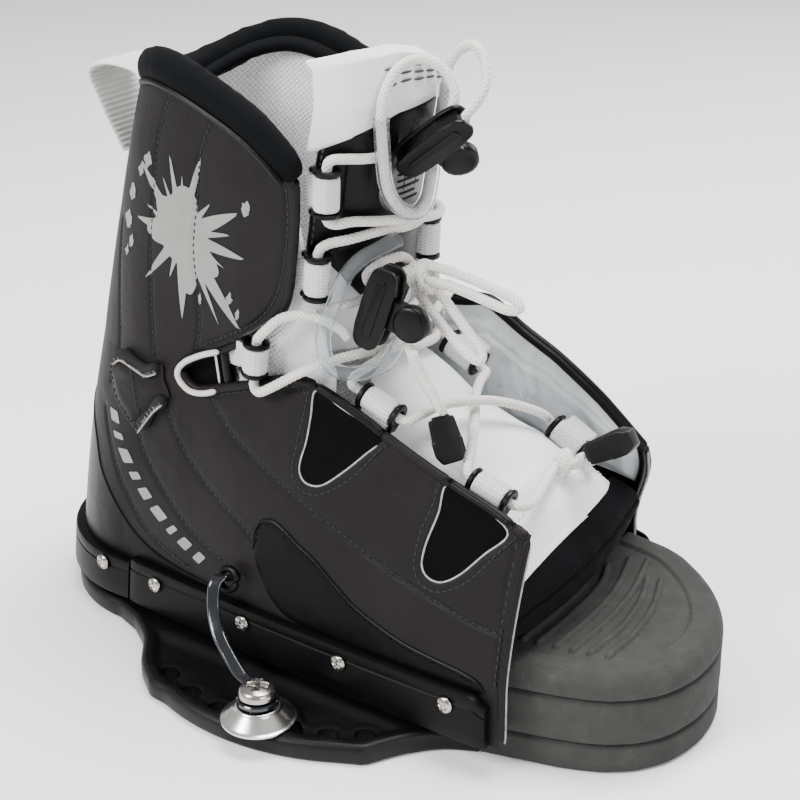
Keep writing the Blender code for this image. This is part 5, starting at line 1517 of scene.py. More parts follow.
def vamp():
    """Arched instep cover of white twill over foam, topstitched beside the toe rim."""
    x = np.concatenate([np.linspace(16, 64, 50), np.linspace(64, 82.5, 34)[1:]])[:, None]
    u = np.linspace(-1, 1, 120)[None, :]
    x, u = np.broadcast_arrays(x, u)
    spot = np.stack([x, u * 40, 0 * x], -1)
    wrinkle = 0.9 * noise_at(spot * np.array([1.0, 0.35, 1.0]), 12.0) * smooth((72 - x) / 30.0)
    wrinkle += 0.5 * noise_at(spot, 26.0, 3.0)
    seam = -0.7 * bell(x - VAMP_SEAM_X, 0.9)
    off = wrinkle + seam + 0.4
    outer = vamp_point(x, u, off)
    inner = vamp_point(x, u, -2.2 + 0 * x)
    obj = grid_piece("vamp_cover", outer, inner, TWILL, nodes=["vamp"], slot="mesh", sharp=80)
    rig.padded(obj, fill=0.35)
    us = np.linspace(-0.86, 0.86, 160)
    build = Build()
    seam_x = np.full(160, VAMP_SEAM_X)
    line = vamp_point(seam_x, us, 0.3)
    out = unit(vamp_point(seam_x, us, 1.3) - line + np.array([0.3, 0, 0]))
    stitches(build, line, out, pitch=2.6, length=1.9, radius=0.3)
    build.make("vamp_topstitch", ELASTIC, slot="mesh")


def rim_point(u, v, off):
    bow = 1.0 - u * u
    top = np.stack([84.0 + 3.6 * bow, 1.5 + 40.5 * u, 58.0 + 4.0 * u + 0.5 * bow], -1)
    low = np.stack([85.0 + 4.6 * bow, 1.5 + 42.0 * u, 48.5 + 4.5 * u - 2.5 * bow], -1)
    p = lerp(top, low, v[..., None])
    p[..., 0] += off + 1.6 * np.sin(math.pi * v)
    return p


def toe_rim():
    """Wide knitted binding round the toe opening, folded over with a crease along its middle."""
    u, v = np.meshgrid(np.linspace(-1, 1, 130), np.linspace(-0.32, 1.12, 44))
    roll = np.sqrt(np.clip(1 - ((v - 0.4) / 0.72) ** 2, 0, 1))
    crease = -1.1 * bell(v - 0.34, 0.05)
    spot = np.stack([u * 42, v * 14, 0 * u], -1)
    off = -1.2 + 2.6 * roll + crease + 0.35 * noise_at(spot, 7.0)
    tuck = np.clip(-v, 0, 1)[..., None] * np.array([9.0, 0.0, 1.0])
    outer = rim_point(u, v, off) - tuck
    inner = rim_point(u, v, -2.8 + 0 * u) - tuck
    obj = grid_piece("toe_rim_binding", outer, inner, KNIT, nodes=["toe_rim"], slot="neoprene", sharp=80)
    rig.padded(obj, fill=0.6)


TONGUE_FRONT = ((116, 14.5), (130, 14.5), (146, 15.5), (160, 18.0), (180, 21.0), (200, 26.0), (214, 25.5))
TONGUE_TOP = ((-1.5, 213.0), (-0.9, 216.0), (-0.4, 217.0), (0.0, 214.5), (0.4, 209.0), (0.8, 203.5),
              (1.5, 198.0))
BAND_LOW = ((-1.5, 184.0), (-0.9, 190.0), (-0.4, 196.0), (0.2, 198.0), (0.8, 193.0), (1.5, 188.0))
TONGUE_HALF_W = 27.5
TONGUE_DEPTH = 21.0


def tongue_point(a, z, off):
    centre = ramp(z, TONGUE_FRONT) - TONGUE_DEPTH
    return np.stack([centre + (TONGUE_DEPTH + off) * np.cos(a), (TONGUE_HALF_W + off) * np.sin(a),
                     z + 0 * a], -1)


def tongue_stitches(build, a, z, off, **kw):
    on = tongue_point(a, z, off)
    stitches(build, on, unit(tongue_point(a, z, off + 1.0) - on), **kw)


def tongue_grid(degrees, low, high, rows, cols):
    """Angles, heights and shares of the way up, over a patch of the tongue between two edges."""
    a = np.radians(np.linspace(degrees[0], degrees[1], cols))[None, :]
    r = np.linspace(0, 1, rows)[:, None]
    z = lerp(low(a), high(a), r)
    return a + 0 * z, z, r + 0 * z


def tongue():
    a, z, r = tongue_grid((-86, 84), lambda a: 112.0 + 0 * a, lambda a: ramp(a, TONGUE_TOP) - 1.0, 80, 110)
    edge = np.minimum(np.minimum((a - a.min()) * 25, (a.max() - a) * 25), (1 - r) * 100)
    thick = 5.2 * rise(edge, 5.0, 0.08)
    outer = tongue_point(a, z, -0.1 + 0 * a)
    inner = tongue_point(a, z, -thick - 0.6 * noise_at(np.stack([a * 27, z, 0 * a], -1), 15.0))
    obj = grid_piece("tongue_pad", outer, inner, MESH, nodes=["tongue"], slot="mesh", sharp=80)
    inflate(obj, 4.0, 1.2, shrink=0.7)
    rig.padded(obj, fill=0.5)

    a, z, r = tongue_grid((-78, 62), lambda a: lerp(126.0, 152.0, smooth(np.abs(a) / 1.35)),
                          lambda a: ramp(a, BAND_LOW) + 1.5, 90, 150)
    degrees = np.degrees(a)
    edge = np.minimum(np.minimum((degrees + 78) * 0.45, (62 - degrees) * 0.45), np.minimum(r, 1 - r) * 55)
    ridge = 0.55 * np.maximum(0, np.cos((degrees + 8) / 6.0 * math.pi)) ** 2
    ridge *= smooth((35 - np.abs(degrees + 8)) / 6.0) * smooth((z - 165) / 6.0) * smooth((192 - z) / 6.0)
    panel = 0.5 * smooth((44 - np.abs(degrees + 10)) / 2.0) * smooth((z - 150) / 3.0)
    off = 0.5 + rise(edge, 1.2, 0.02) + ridge + panel
    outer = tongue_point(a, z, off)
    inner = tongue_point(a, z, 0.35 + 0 * a)
    grid_piece("tongue_overlay_panel", outer, inner, BLACK_LEATHER, nodes=["tongue_overlay"], slot="overlay",
               sharp=80)
    build = Build()
    for line_deg in (-73, 57):
        tongue_stitches(build, np.full(60, math.radians(line_deg)), np.linspace(154, 190, 60), 1.5,
                        pitch=2.6, length=2.0, radius=0.3)
    build.make("overlay_stitching", GREY_THREAD, slot="overlay")

    centre_a, centre_z = math.radians(-2.0), 171.0
    radii = np.linspace(0, 1, 22)[:, None]
    angle = np.linspace(0, 2 * math.pi, 65)[None, :-1]
    raised = 1.1 * np.sqrt(np.clip(1 - radii ** 8, 0, 1)) - 0.35 * smooth((0.82 - radii) / 0.05) + 0 * angle
    aa = centre_a + 12.4 * radii * np.cos(angle) / 27.0
    zz = centre_z + 9.6 * radii * np.sin(angle)
    pts = tongue_point(aa, zz, 1.7 + raised)
    make("tongue_badge", pts.reshape(-1, 3), grid_faces(22, 64, wrap=True), BADGE, slot="overlay")
    bars = Build()
    for k in range(5):
        aa = centre_a + np.linspace(-6.0, 5.0 - k % 2 * 2, 20) / 27.0
        zz = np.full(20, centre_z + 4.4 - 2.2 * k)
        bars.tube(tongue_point(aa, zz, 2.55), 0.42, sides=8)
    bars.make("badge_bars", BLACK_LEATHER, slot="overlay")

    a, z, r = tongue_grid((-86, 84), lambda a: ramp(a, BAND_LOW), lambda a: ramp(a, TONGUE_TOP) + 0.4,
                          60, 160)
    edge = np.minimum(r, 1 - r) * 24
    fold = 0.7 * noise_at(np.stack([a * 10, z * 0.25, 0 * a], -1), 4.0)
    off = 0.9 + 1.1 * rise(edge, 1.5, 0.02) + fold * smooth((r - 0.1) / 0.3)
    tuck = smooth((r - 0.9) / 0.1)[..., None] * np.array([3.0, 0.0, 0.0])
    outer = tongue_point(a, z, off) - tuck
    inner = tongue_point(a, z, 0.35 + 0 * a) - tuck
    obj = grid_piece("tongue_band_elastic", outer, inner, ELASTIC, nodes=["tongue_band"], slot="elastic",
                     sharp=80)
    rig.sheet(obj, flat=(0.079, 0.019), held="stretched", rests_on=["tongue"])
    dashes = Build()
    for row in (0.62, 0.50, 0.74):
        degs = np.radians(np.linspace(-36, 30, 120))
        zz = lerp(ramp(degs, BAND_LOW), ramp(degs, TONGUE_TOP), row)
        tongue_stitches(dashes, degs, zz, 2.2, pitch=6.0, length=4.2, radius=0.42)
    dashes.make("band_dashes", GREY_THREAD, slot="elastic")


def satin_lining():
    """Silver-grey satin facing inside the inner flap, puckered between its edge stitching."""
    r = np.linspace(0, 1, 60)[:, None]
    u = np.linspace(0, 1, 150)[None, :]
    x = lerp(2.0, 86.4, u) + 0 * r
    for _ in range(4):
        low = ramp(x, ((2, 92), (30, 72), (60, 61), (80, 58), (88, 57)))
        z = lerp(low, top_height(x, 1) - 2.6, r)
        x = lerp(2.0, toe_front(z, 1) - 2.0, u)
    spot = np.stack([x * 0.8, z * 0.45, 0 * x], -1)
    edge = np.minimum(np.minimum(r, 1 - r) * 30, np.minimum(u, 1 - u) * 80)
    puff = smooth(edge / 7.0)
    off = -1.9 - 4.4 * puff + 1.5 * noise_at(spot, 9.0) * puff + 0.5 * noise_at(spot, 3.5, 2.0) * puff
    off = off + 1.6 * bell(r - 0.80, 0.03) * puff
    outer = wall(x, z, 1, off)
    inner = wall(x, z, 1, -1.25)
    obj = grid_piece("flap_satin", outer, inner, SATIN, slot="mesh", sharp=80)
    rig.padded(obj, fill=0.3)
    border = Build()
    top = [(x0, float(top_height(x0, 1)) - 1.3) for x0 in np.linspace(0, 88, 14)]
    front = [(float(toe_front(z0, 1)) - 1.4, z0) for z0 in (78, 70, 62, 54, 46, 40)]
    for points in (top, front):
        line = curve(points, 0.8, 8)
        border.tube(wall(line[:, 0], line[:, 1], 1, -1.6), 1.5, sides=10)
    border.make("flap_border", BLACK_LEATHER, slot="leather")


def heel_loop():
    """Ribbed white pull loop standing off the back of the shaft."""
    step, rib_pitch, half_width_y = 0.45, 1.9, 11.0
    path = curve([(-79.5, 193.5), (-87, 196), (-96, 196.6), (-102.6, 195.2), (-105.2, 192.6),
                  (-104.6, 189.2), (-101, 182.6), (-96.6, 174.8), (-91.5, 166.5)], step, 14)
    normal = left_of(path)
    wave = np.cos(2 * math.pi * np.arange(len(path)) * step / rib_pitch)
    w = np.linspace(-1, 1, 40)
    grids = []
    for sign in (1, -1):
        off = sign * (0.75 + 0.32 * wave)[:, None] * tape_edge(w, 10, 0.05)[None, :]
        xz = path[:, None, :] + normal[:, None, :] * off[..., None]
        y = half_width_y * w[None, :] * (1 - 0.015 * wave)[:, None]
        grids.append(np.stack([xz[..., 0], y + 0 * off, xz[..., 1]], -1))
    grid_piece("heel_loop_tape", grids[0], grids[1], RIBBED, nodes=["heel_loop"], slot="webbing", sharp=80)


liner()
collar()
vamp()
toe_rim()
tongue()
satin_lining()
heel_loop()


# ---------------------------------------------------------------- lace loops

LACE_LOOPS = (
    ("near_top", (11.5, -31, 174), (0.05, 0.0, 1.0), (-1.0, 0.05, 0.1), 8.0),
    ("near_mid", (7.5, -31.5, 146), (0.08, 0.0, 1.0), (-1.0, 0.12, 0.0), 7.5),
    ("near_ankle", (-13, -38.8, 116), (0.12, 0.0, 1.0), (-1.0, 0.06, 0.0), 17.0),
    ("near_instep", (28, -26.5, 105), (0.94, 0.0, -0.34), (-0.1, -0.22, -1.0), 8.0),
    ("near_toe", (69, -25.5, 85.5), (0.95, 0.0, -0.30), (-0.1, -0.22, -1.0), 7.5),
    ("far_mid", (9.5, 28.6, 143), (0.05, 0.0, 1.0), (-1.0, 0.1, 0.0), 7.5),
    ("far_instep", (25, 27, 104), (0.90, 0.0, -0.44), (0.0, 1.0, 0.25), 9.5),
    ("far_toe", (67.1, 28.1, 81.8), (0.88, 0.0, -0.48), (0.0, 1.0, 0.1), 9.5),
)


TAB_THICK = 1.4


def lace_loops():
    """Spools with end flanges and a back bar, each held by a doubled webbing strap."""
    for name, centre, axis, tail_dir, tail in LACE_LOOPS:
        scale = 0.8 if name == "near_ankle" else 1.0
        half = 7.5 * scale
        place = frame_at(centre, axis, tail_dir)
        build = Build()
        flange = ((2.3, 0.3), (2.6, 0.0), (4.1, 0.0), (4.5, 0.4), (4.5, 1.1), (4.1, 1.5), (2.9, 1.6))
        profile = [(r, d - half) for r, d in flange] + [(r, half - d) for r, d in flange[::-1]]
        build.place(place, lathe(profile + profile[:1], 32))
        tab = rounded([(1.0, -2.9), (5.9, -2.0), (5.9, 2.0), (1.0, 2.9)], 0.9, 3)
        for z_lo in (-half, half - TAB_THICK):
            build.place(place, prism(tab, z_lo, z_lo + TAB_THICK, 0.35, 3))
        build.make("spool_body_" + name, PLASTIC, nodes=["spool_" + name], slot="clip", sharp=40)
        ring = 3.8
        mouth = math.asin(1.0 / ring)
        path = [(tail, 1.0), (ring + 1.5, 1.0)]
        turn = np.linspace(mouth, 2 * math.pi - mouth, 13)
        path += [(ring * math.cos(a), ring * math.sin(a)) for a in turn]
        path += [(ring + 1.5, -1.0), (tail, -1.0)]
        line = resample(np.array(path), 0.4)
        normal = left_of(line)
        w = np.linspace(-1, 1, 22)
        wide = 5.5 * scale
        grids = []
        for sign in (1, -1):
            off = sign * 0.48 * tape_edge(w, 8, 0.08)
            xy = line[:, None, :] + normal[:, None, :] * off[None, :, None]
            local = np.dstack([xy, np.broadcast_to(wide * w, xy.shape[:2])])
            strap = moved(local, place).reshape(local.shape)
            if name == "near_ankle":
                into = smooth((-17.5 - strap[..., 0]) / 9.0)
                strap[..., 1] += 4.4 * into
                strap[..., 2] -= 3.6 * into
            grids.append(strap)
        grid_piece("webbing_strap_" + name, grids[0], grids[1], WEBBING, nodes=["webbing_" + name],
                   slot="webbing", sharp=80)


lace_loops()


# ---------------------------------------------------------------- lace locks

THUMB_Y = 12.0
LOCKS = (
    ("upper_lock", (36.5, -9.5, 189), (0.76, 0.16, 0.63), (0.08, 0.68, -0.73)),
    ("lower_lock", (26, -24, 137.5), (0.28, 0.10, 0.95), (0.85, 0.09, 0.18)),
)


def thumb_disc(name, place):
    """Disc with a ridged face over a lock's button."""
    build = Build()
    profile = [(0, -2.35), (4.4, -2.35), (5.5, -2.1), (6.0, -1.5), (6.05, 0), (6.0, 1.5), (5.5, 2.1),
               (4.9, 2.35), (4.3, 2.35), (3.7, 2.0), (0, 1.9)]
    verts, faces = lathe(profile, 48)
    build.place(place, (verts + np.array([0, THUMB_Y, 0]), faces))
    for k in range(-2, 3):
        half = 2.8 - 0.35 * abs(k)
        verts, faces = prism(rounded([(-half, -0.28), (half, -0.28), (half, 0.28), (-half, 0.28)], 0.2, 2),
                             1.7, 2.35, 0.2, 2)
        build.place(place, (verts + np.array([0, THUMB_Y + k * 1.3, 0]), faces))
    build.make(name + "_thumb_disc", PLASTIC, body=name + "_thumb", slot="clip", sharp=40)


def lock_shell(name, place):
    """Lock body: two ridged plates joined by end blocks and a floor, open where the laces pass."""
    build = Build()
    plate = rounded([(-14, -2.4), (-12, -4.4), (-7, -5.2), (7, -5.2), (12, -4.4), (14, -2.4), (14, 2.4),
                     (12, 4.4), (7, 5.2), (-7, 5.2), (-12, 4.4), (-14, 2.4)], 1.2, 3)
    ridge = rounded([(-10, -1.7), (10, -1.7), (10, 1.7), (-10, 1.7)], 1.5, 4)
    solids = [prism(plate, 2.25, 3.8, 0.45, 3), prism(plate, -3.8, -2.25, 0.45, 3),
              prism(ridge, 3.6, 4.3, 0.35, 3), prism(ridge, -4.3, -3.6, 0.35, 3)]
    for end in (-1, 1):
        block = [(end * 5.4, -4.3), (end * 12.4, -2.9), (end * 12.4, 2.9), (end * 5.4, 4.3)]
        solids.append(prism(block[::end], -2.3, 2.3, 0.1, 2))
    solids.append(prism([(-5.6, -4.5), (5.6, -4.5), (5.6, -4.05), (-5.6, -4.05)], -2.3, 2.3, 0.05, 2))
    for solid in solids:
        build.place(place, solid)
    build.make(name + "_shell", PLASTIC, nodes=[name + "_body"], slot="clip", sharp=35)


def lace_locks():
    """Each lock's thumb disc, its shell and the coil spring behind its button."""
    for name, centre, long_axis, thumb_dir in LOCKS:
        x = Vector(long_axis).normalized()
        y = Vector(thumb_dir)
        y = (y - x * y.dot(x)).normalized()
        place = Matrix.Translation(Vector(centre)) @ Matrix((x, y, x.cross(y))).transposed().to_4x4()
        thumb_disc(name, place)
        lock_shell(name, place)
        turns = np.linspace(0, 1, 90)
        coil = np.stack([1.4 * np.cos(5 * math.pi * turns), lerp(-3.6, -1.95, turns),
                         1.4 * np.sin(5 * math.pi * turns)], 1)
        verts, faces, _ = tube(coil, 0.17, sides=8)
        spring = make(name + "_coil", moved(verts, place), faces, STEEL, nodes=[name + "_spring"],
                      slot="steel")
        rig.squash(spring, name + "_press", list(y), metres([place @ Vector((0, -3.8, 0))])[0], keep=0.11)


lace_locks()


# ---------------------------------------------------------------- screws and washers

BOLT_CIRCLE = 76.2
MOUNT_ANGLE = math.radians(-81.0)
RAIL_FACE = 4.95


def mount_spot(side):
    """Centre of one mounting screw, on the board's bolt circle."""
    return BOLT_CIRCLE * math.cos(MOUNT_ANGLE), -side * BOLT_CIRCLE * math.sin(MOUNT_ANGLE)


def cross_head(radius, top, crown, recess, rings=26, steps=96):
    """Domed screw head with a cross recess, from its underside edge to the middle of its top."""
    side = [(radius * 0.94, 0.0), (radius, top * 0.12), (radius, top * 0.45), (radius * 0.96, top * 0.72)]
    angle = np.arange(steps) * 2 * math.pi / steps
    grid = [np.stack([r * np.cos(angle), r * np.sin(angle), np.full(steps, z)], -1) for r, z in side]
    for k in range(rings + 1):
        r = radius * 0.88 * (1 - k / rings)
        x, y = r * np.cos(angle), r * np.sin(angle)
        z = top + crown * (1 - (r / (radius * 0.88)) ** 2) + 0 * angle
        arm, slope, reach = 0.23 * radius, 0.12 * radius, 0.56 * radius
        cut = np.maximum(smooth((arm - np.abs(x)) / slope) * (np.abs(y) < reach),
                         smooth((arm - np.abs(y)) / slope) * (np.abs(x) < reach))
        z = z - recess * cut * (1 - 0.45 * np.maximum(np.abs(x), np.abs(y)) / reach)
        grid.append(np.stack([x, y, z], -1))
    faces = grid_faces(len(grid), steps, wrap=True)
    faces.append(list(range(steps))[::-1])
    return np.array(grid).reshape(-1, 3), faces


def mount_screws():
    """Stepped washers and cross-headed screws that hold the plate to the board."""
    for side, label in SIDES:
        x, y = mount_spot(side)
        cone = [(3.7, 1.2), (10.2, 0.1), (11.8, 0.0), (12.45, 0.15), (12.6, 0.5), (12.5, 0.95), (12.1, 1.15)]
        for r in np.arange(11.6, 7.9, -0.35):
            z = 1.2 + (11.9 - r) * 0.84
            cone += [(r, z), (r - 0.12, z + 0.14)]
        cone += [(7.6, 5.1), (7.35, 5.5), (6.9, 5.65), (6.3, 5.55), (5.9, 4.9), (5.3, 3.7), (3.7, 3.0),
                 (3.7, 1.2)]
        verts, faces = lathe(cone, 96)
        place = Matrix.Translation((x, y, 7.35))
        make("washer_" + label, moved(verts, place), faces, WASHER, body=label + "_washer",
             nodes=["mount_washer_" + label], slot="washer", sharp=50)
        place = Matrix.Translation((x, y, 16.2)) @ Matrix.Rotation(0.5, 4, "Z")
        shaft = [(0, -15.2), (1.9, -15.2), (2.4, -14.8)]
        for z in np.arange(24) * 0.5 - 14.4:
            shaft += [(3.0, z), (2.55, z + 0.25)]
        shaft += [(3.0, -2.2), (3.0, 0.05), (5.9, 0.05)]
        screw = Build().place(place, cross_head(6.3, 3.1, 1.4, 1.7)).place(place, lathe(shaft, 40))
        screw.make("screw_" + label, STEEL, body=label + "_screw", nodes=["mount_screw_" + label],
                   slot="steel", sharp=45)


def rail_screws():
    z = 22.0
    centre = float(back_x(z)) + HEEL_A
    for name, x in (("heel_rail_screw", -83.0), ("rail_screw_1", -56.0), ("rail_screw_2", -14.0),
                    ("rail_screw_3", 28.0), ("rail_screw_4", 70.0)):
        if x < centre:
            t = 1.0 - math.asin((centre - x) / (HEEL_A + 5.0)) * 2 / math.pi
            x = centre - HEEL_A * math.cos(t * math.pi / 2)
        here, ahead = wall(np.array([x, x + 0.8]), z, NEAR, RAIL_FACE + 0.3)
        along = unit(ahead - here)
        outward = Vector((along[1], -along[0], 0.0))
        place = frame_at(Vector(here) + outward * 0.05, outward, (0.3, 0, 1))
        head = Build().place(place, cross_head(2.9, 0.9, 0.8, 0.8, rings=18, steps=72))
        head.make(name + "_head", STEEL, nodes=[name], slot="steel", sharp=45)


mount_screws()
rail_screws()


def tether():
    """Smoky flexible tie from a black loop on the rail to an eyelet under the near screw's head."""
    x, y = mount_spot(NEAR)
    route = [(-19, -49.6, 37.0), (-20.5, -52.5, 39.0), (-21, -56.0, 37.0), (-19.5, -59.0, 30.0),
             (-15, -62.5, 24.0), (-8, -66.0, 20.0), (0, -69.3, 16.6), (x - 3.5, y + 4.5, 15.3)]
    line = curve(route, 0.6, 12)
    along = unit(np.gradient(line, axis=0))
    flat_way = np.array([0.92, 0.39, 0.0])
    across = unit(flat_way - along * (along @ flat_way)[:, None])
    normal = np.cross(along, across)
    w = np.linspace(-1, 1, 16)
    grids = []
    for sign in (1, -1):
        off = sign * 0.75 * tape_edge(w, 6, 0.05)
        grids.append(line[:, None, :] + across[:, None, :] * (2.2 * w)[None, :, None]
                     + normal[:, None, :] * off[None, :, None])
    grid_piece("screw_tether_strip", grids[0], grids[1], TETHER, nodes=["screw_tether"], slot="strap",
               sharp=60)
    ring = [(3.4, 14.0), (6.6, 13.9), (7.0, 14.2), (7.0, 15.2), (6.6, 15.6), (3.4, 15.6), (3.4, 14.0)]
    eyelet = Build().place(Matrix.Translation((x, y, 0.0)), lathe(ring, 40))
    eyelet.make("tether_eyelet", TETHER, slot="strap")
    angle = np.linspace(0, 2 * math.pi, 40)
    pts = np.stack([-19.4 + 3.6 * np.cos(angle), -50.6 + 1.2 * np.sin(angle), 37.4 + 3.4 * np.sin(angle)], 1)
    Build().tube(resample(pts, 0.6), 1.25, sides=12).make("tether_hook", PLASTIC, slot="strap")


tether()


# ---------------------------------------------------------------- rails, footbed and plate

def rail(name, node, t_range, z_top, front, side):
    """Moulded clamp rail with rounded edges and a crease below its top edge."""
    count = 90
    z_lo = 9.4
    inner, outer = 1.35, RAIL_FACE
    section = [(inner, z_lo), (outer - 0.9, z_lo), (outer - 0.3, z_lo + 0.25), (outer, z_lo + 0.9),
               (outer, z_lo + 5), (outer, z_top - 5.2), (outer - 0.1, z_top - 4.6),
               (outer - 0.55, z_top - 4.2), (outer - 0.1, z_top - 3.8), (outer, z_top - 3.2),
               (outer, z_top - 1.2), (outer - 0.3, z_top - 0.35), (outer - 1.1, z_top), (inner, z_top)]
    off, z = np.array(section).T
    rows = []
    for k, t in enumerate(np.linspace(t_range[0], t_range[1], count)):
        shrink = (0.7, 0.25, 0.0)[min(k, count - 1 - k, 2)]
        drop = 3.0 * smooth((t - 1.97) / 0.03) * (z - z_lo) / (z_top - z_lo)
        zz = z - drop
        rows.append(wall(station(abs(t), zz, front), zz, -1 if t < 0 else side, off - shrink * (off > inner)))
    faces = grid_faces(count, len(section), wrap=True) + end_caps(count, len(section))
    make(name, np.array(rows).reshape(-1, 3), faces, RAIL, nodes=[node], slot="rail", sharp=35)


def rails():
    split = 1.0 + (-72.0 + 78.5) / 160.0
    rail("heel_rail_moulding", "heel_rail", (-split, split), 25.5, 84.0, 1)
    rail("rail_near_moulding", "rail_near", (split + 0.006, 2.0), 27.5, 84.0, -1)
    rail("rail_far_moulding", "rail_far", (split + 0.006, 2.0), 27.5, 74.0, 1)


rails()


TREAD = (
    ((81, -24), (81.5, -2), (80, 18), (76, 30)),
    ((86, -23), (86.6, -2), (85.4, 20), (81, 34)),
    ((92, -22), (92.6, -1), (91, 21), (85.5, 42)),
    ((97.4, -21), (98.2, 1), (96.4, 23), (91, 45)),
    ((103, -19.5), (104, 0), (101.6, 18), (97, 33)),
    ((108.6, -17.5), (109.2, 0), (106.6, 18), (101, 35)),
)


def footbed():
    """Stepped foam bumper with two grooves, a rolled top edge and ribbed tread, on a plain sole slab."""
    route = [(77, -42.6), (90, -39.2), (105, -35), (118, -28.5), (128, -17.5), (133, -2), (132.5, 14),
             (127, 29), (115, 44.5), (98, 57), (77, 62)]
    edge = curve(route, 1.2, 12)
    inward = left_of(edge)
    top = 35.3
    profile = [(1.2, 0.0), (0.3, 0.5), (0, 1.4), (0, 8.4), (0.4, 9.2), (1.6, 9.7), (1.9, 9.9), (1.6, 10.2),
               (0.4, 10.8), (0, 11.6), (0, 16), (0, 21), (0, 24.8), (0.4, 25.6), (1.6, 26.1), (1.9, 26.3),
               (1.6, 26.6), (0.4, 27.1), (0, 28.0), (0, 30.0), (0.3, 31.6), (1.0, 33.1), (2.2, 34.4),
               (3.6, 35.1)]
    grid = []
    for inset, z in profile:
        ring = edge + inward * inset
        jig = 0.18 * noise_at(np.column_stack([ring, np.full(len(ring), z * 1.4)]), 5.0)
        ring = ring + inward * jig[:, None]
        grid.append(np.column_stack([ring, np.full(len(ring), z)]))
    grid = np.array(grid)
    build = Build()
    build.add(grid, grid_faces(len(profile), len(edge)))
    inner_ring = edge + inward * 3.6
    pts, faces = filled(inner_ring, pitch=0.62)
    from_rim = line_distance(pts, inner_ring)
    z = top - 0.2 * np.exp(-from_rim / 0.8)
    z -= 0.9 * smooth((from_rim - 7.0) / 1.2)
    z -= 0.5 * bell(from_rim - 7.6, 0.55)
    for ridge in TREAD:
        z += 1.35 * tape_edge(line_distance(pts, catmull(ridge, 10)) / 1.15, 2, 0)
    z += 0.12 * noise_at(np.column_stack([pts, 0 * z]), 6.0)
    build.add(np.column_stack([pts, z]), faces)
    low = edge + inward * 1.2
    build.add(np.column_stack([low, np.zeros(len(low))]), [list(range(len(low)))])
    build.make("toe_bumper", EVA, nodes=["footbed"], slot="eva", sharp=50)
    slab_top = 31.0
    t = np.concatenate([-np.linspace(1.98, 0, 60), np.linspace(0, 1.98, 60)[1:]])
    xs = station(np.abs(t), np.full(len(t), slab_top), 78.0)
    ring = wall(xs, slab_top, np.where(t < 0, -1, 1), -2.8)[:, :2]
    Build().add(*prism(ring, 7.35, slab_top, 0.5, 2)).make("sole_slab", EVA, slot="eva", sharp=50)


footbed()


def base_plate():
    """Winged plate with a raised rim, a dished floor, bosses under the washers and short slots."""
    top, dish = 7.0, 1.7
    boss_x, boss_y = 11.92, 75.26
    heel = [(-77 + 46 * math.cos(a), 46 * math.sin(a)) for a in np.radians(np.linspace(180, 270, 24))]
    waist = curve([(-66, -49.8), (-55, -57.5), (-44.5, -70), (-33, -78.6)], 2.0, 8)
    wing = [(1.4 + 83.8 * math.cos(a), 83.8 * math.sin(a)) for a in np.radians(np.linspace(-109, -62, 30))]
    nose = curve([(50, -69.5), (57, -58), (66, -48.5), (76.5, -43)], 2.0, 8)
    near = resample(np.vstack([heel, waist, wing, nose]), 2.2)
    far = near[::-1] * np.array([1, -1])
    edge = np.vstack([near, far[np.abs(far[:, 1]) > 0.01]])
    holes = []
    for side in (-1, 1):
        spots = [(d, 3.0, 1.2) for d in (-114.5, -104.0, -93.5, -72.0, -63.0, -54.0)] + [(-81.0, 3.7, 0.0)]
        for degrees, r, slot in spots:
            a = math.radians(degrees)
            c = np.array([BOLT_CIRCLE * math.cos(a), -side * BOLT_CIRCLE * math.sin(a)])
            turn = -side * a + math.pi / 2
            along = np.array([math.cos(turn), math.sin(turn)])
            across = np.array([-along[1], along[0]])
            ring = []
            for b in np.linspace(0, 2 * math.pi, 24, endpoint=False):
                u = r * math.cos(b) + math.copysign(slot / 2, math.cos(b))
                ring.append(c + along * u + across * (r * math.sin(b)))
            holes.append(np.array(ring))
    inward = left_of_ring(edge)
    profile = [(1.4, 0.0), (0.4, 0.3), (0.0, 1.2), (0.0, 4.6), (0.25, 5.8), (0.9, 6.6), (1.9, 7.0)]
    rings = np.array([np.column_stack([edge + inward * i, np.full(len(edge), z)]) for i, z in profile])
    build = Build()
    build.add(rings, grid_faces(len(profile), len(edge), wrap=True))
    rim = edge + inward * 1.9
    pts, faces = filled(rim, holes, pitch=1.5)
    d = -outline_distance(pts, rim)
    floor = dish * smooth((d - 1.6) / 3.2)
    floor *= smooth((np.abs(pts[:, 1]) - 50.5) / 6.0)
    for side in (-1, 1):
        boss = np.array([boss_x, side * boss_y])
        floor *= smooth((np.linalg.norm(pts - boss, axis=1) - 13.0) / 2.5)
    hole_d = np.min([outline_distance(pts, h) for h in holes], axis=0)
    floor -= 0.35 * bell(hole_d - 1.6, 1.0)
    z = top - floor + 0.06 * noise_at(np.column_stack([pts, 0 * floor]), 5.0)
    build.add(np.column_stack([pts, z]), faces)
    for h in holes:
        on_boss = abs(h[:, 0].mean() - boss_x) < 1
        zt = top - (0 if on_boss else dish) + 0.35
        wall_ring = np.array([np.column_stack([h, np.full(len(h), zz)]) for zz in (zt, 3.0, 0.2)])
        build.add(wall_ring, grid_faces(3, len(h), wrap=True))
    low = edge + inward * 1.4
    pts, faces = filled(low, holes, pitch=8.0)
    build.add(np.column_stack([pts, np.zeros(len(pts))]), faces)
    build.make("winged_plate", COMPOSITE, nodes=["base_plate"], slot="composite", sharp=50)


base_plate()


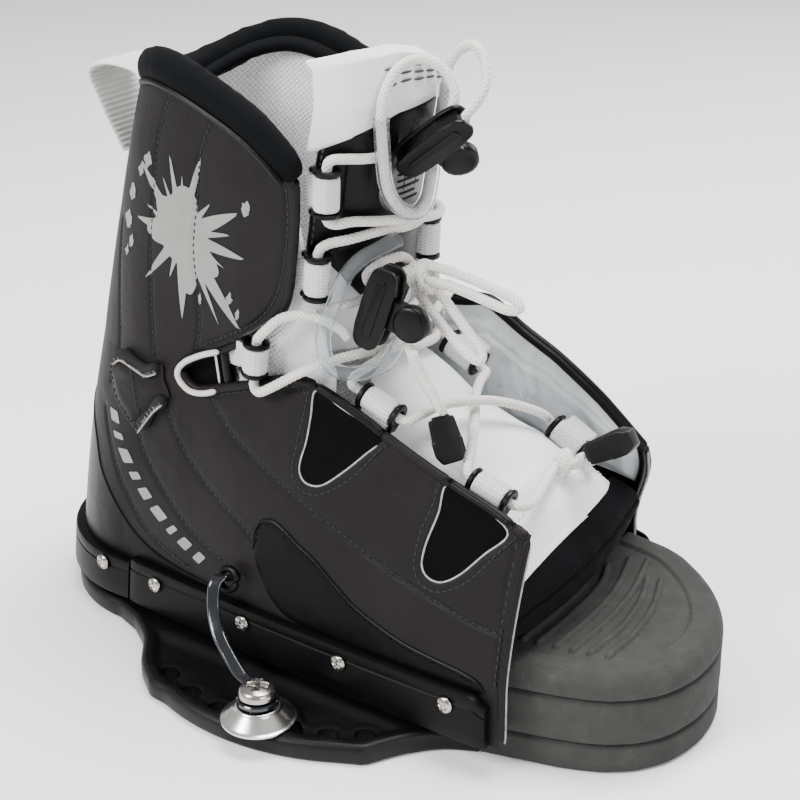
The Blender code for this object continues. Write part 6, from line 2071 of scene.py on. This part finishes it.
def lock_buttons():
    """The lock buttons are shown as built, with softened edges."""
    for lock in ("upper_lock", "lower_lock"):
        node = frame["nodes"][lock + "_button"]
        node.data.materials.clear()
        node.data.materials.append(PLASTIC)
        node.data.shade_smooth()
        node.data.set_sharp_from_angle(angle=math.radians(50))
        bevel = node.modifiers.new("edges", "BEVEL")
        bevel.width = 0.3 * MM
        bevel.segments = 3
        bevel.limit_method = "ANGLE"
        bevel.angle_limit = math.radians(34)
        bevel.harden_normals = True


lock_buttons()


# ---------------------------------------------------------------- lights and floor

def area_light(name, position, target, size, power):
    data = bpy.data.lights.new(name, "AREA")
    data.shape = "RECTANGLE"
    data.size = size[0]
    data.size_y = size[1]
    data.energy = power
    obj = bpy.data.objects.new(name, data)
    position = Vector(position)
    obj.location = position
    obj.rotation_euler = (Vector(target) - position).to_track_quat("-Z", "Y").to_euler()
    bpy.context.scene.collection.objects.link(obj)


def studio():
    area_light("key", (-0.45, -0.95, 0.85), (0.0, 0.0, 0.08), (0.5, 0.5), 23.0)
    area_light("fill", (1.15, -0.45, 0.5), (0.0, 0.0, 0.08), (0.6, 0.6), 6.5)
    area_light("top", (0.1, 0.2, 1.1), (0.0, 0.0, 0.1), (0.6, 0.6), 23.0)
    area_light("rim", (0.3, 1.1, 0.6), (0.0, 0.0, 0.1), (0.8, 0.5), 7.5)
    world = bpy.data.worlds.new("studio")
    world.use_nodes = True
    world.node_tree.nodes["Background"].inputs[0].default_value = (1, 1, 1, 1)
    world.node_tree.nodes["Background"].inputs[1].default_value = 0.60
    bpy.context.scene.world = world
    mesh = bpy.data.meshes.new("floor")
    half = 6.0
    mesh.from_pydata([(-half, -half, -0.0003), (half, -half, -0.0003), (half, half, -0.0003),
                      (-half, half, -0.0003)], [], [(0, 1, 2, 3)])
    paper = material("floor_paper", (0.9, 0.9, 0.9), 0.9, spread=0.0)
    mesh.materials.append(paper)
    floor = bpy.data.objects.new("floor", mesh)
    bpy.context.scene.collection.objects.link(floor)
    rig.stage(floor)


studio()
with open("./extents.json", "w") as out:
    json.dump({"cad": [[float(c) for c in corner] for corner in CAD_BOX],
               "visual": [[float(c) for c in corner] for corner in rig.bounds()]}, out)
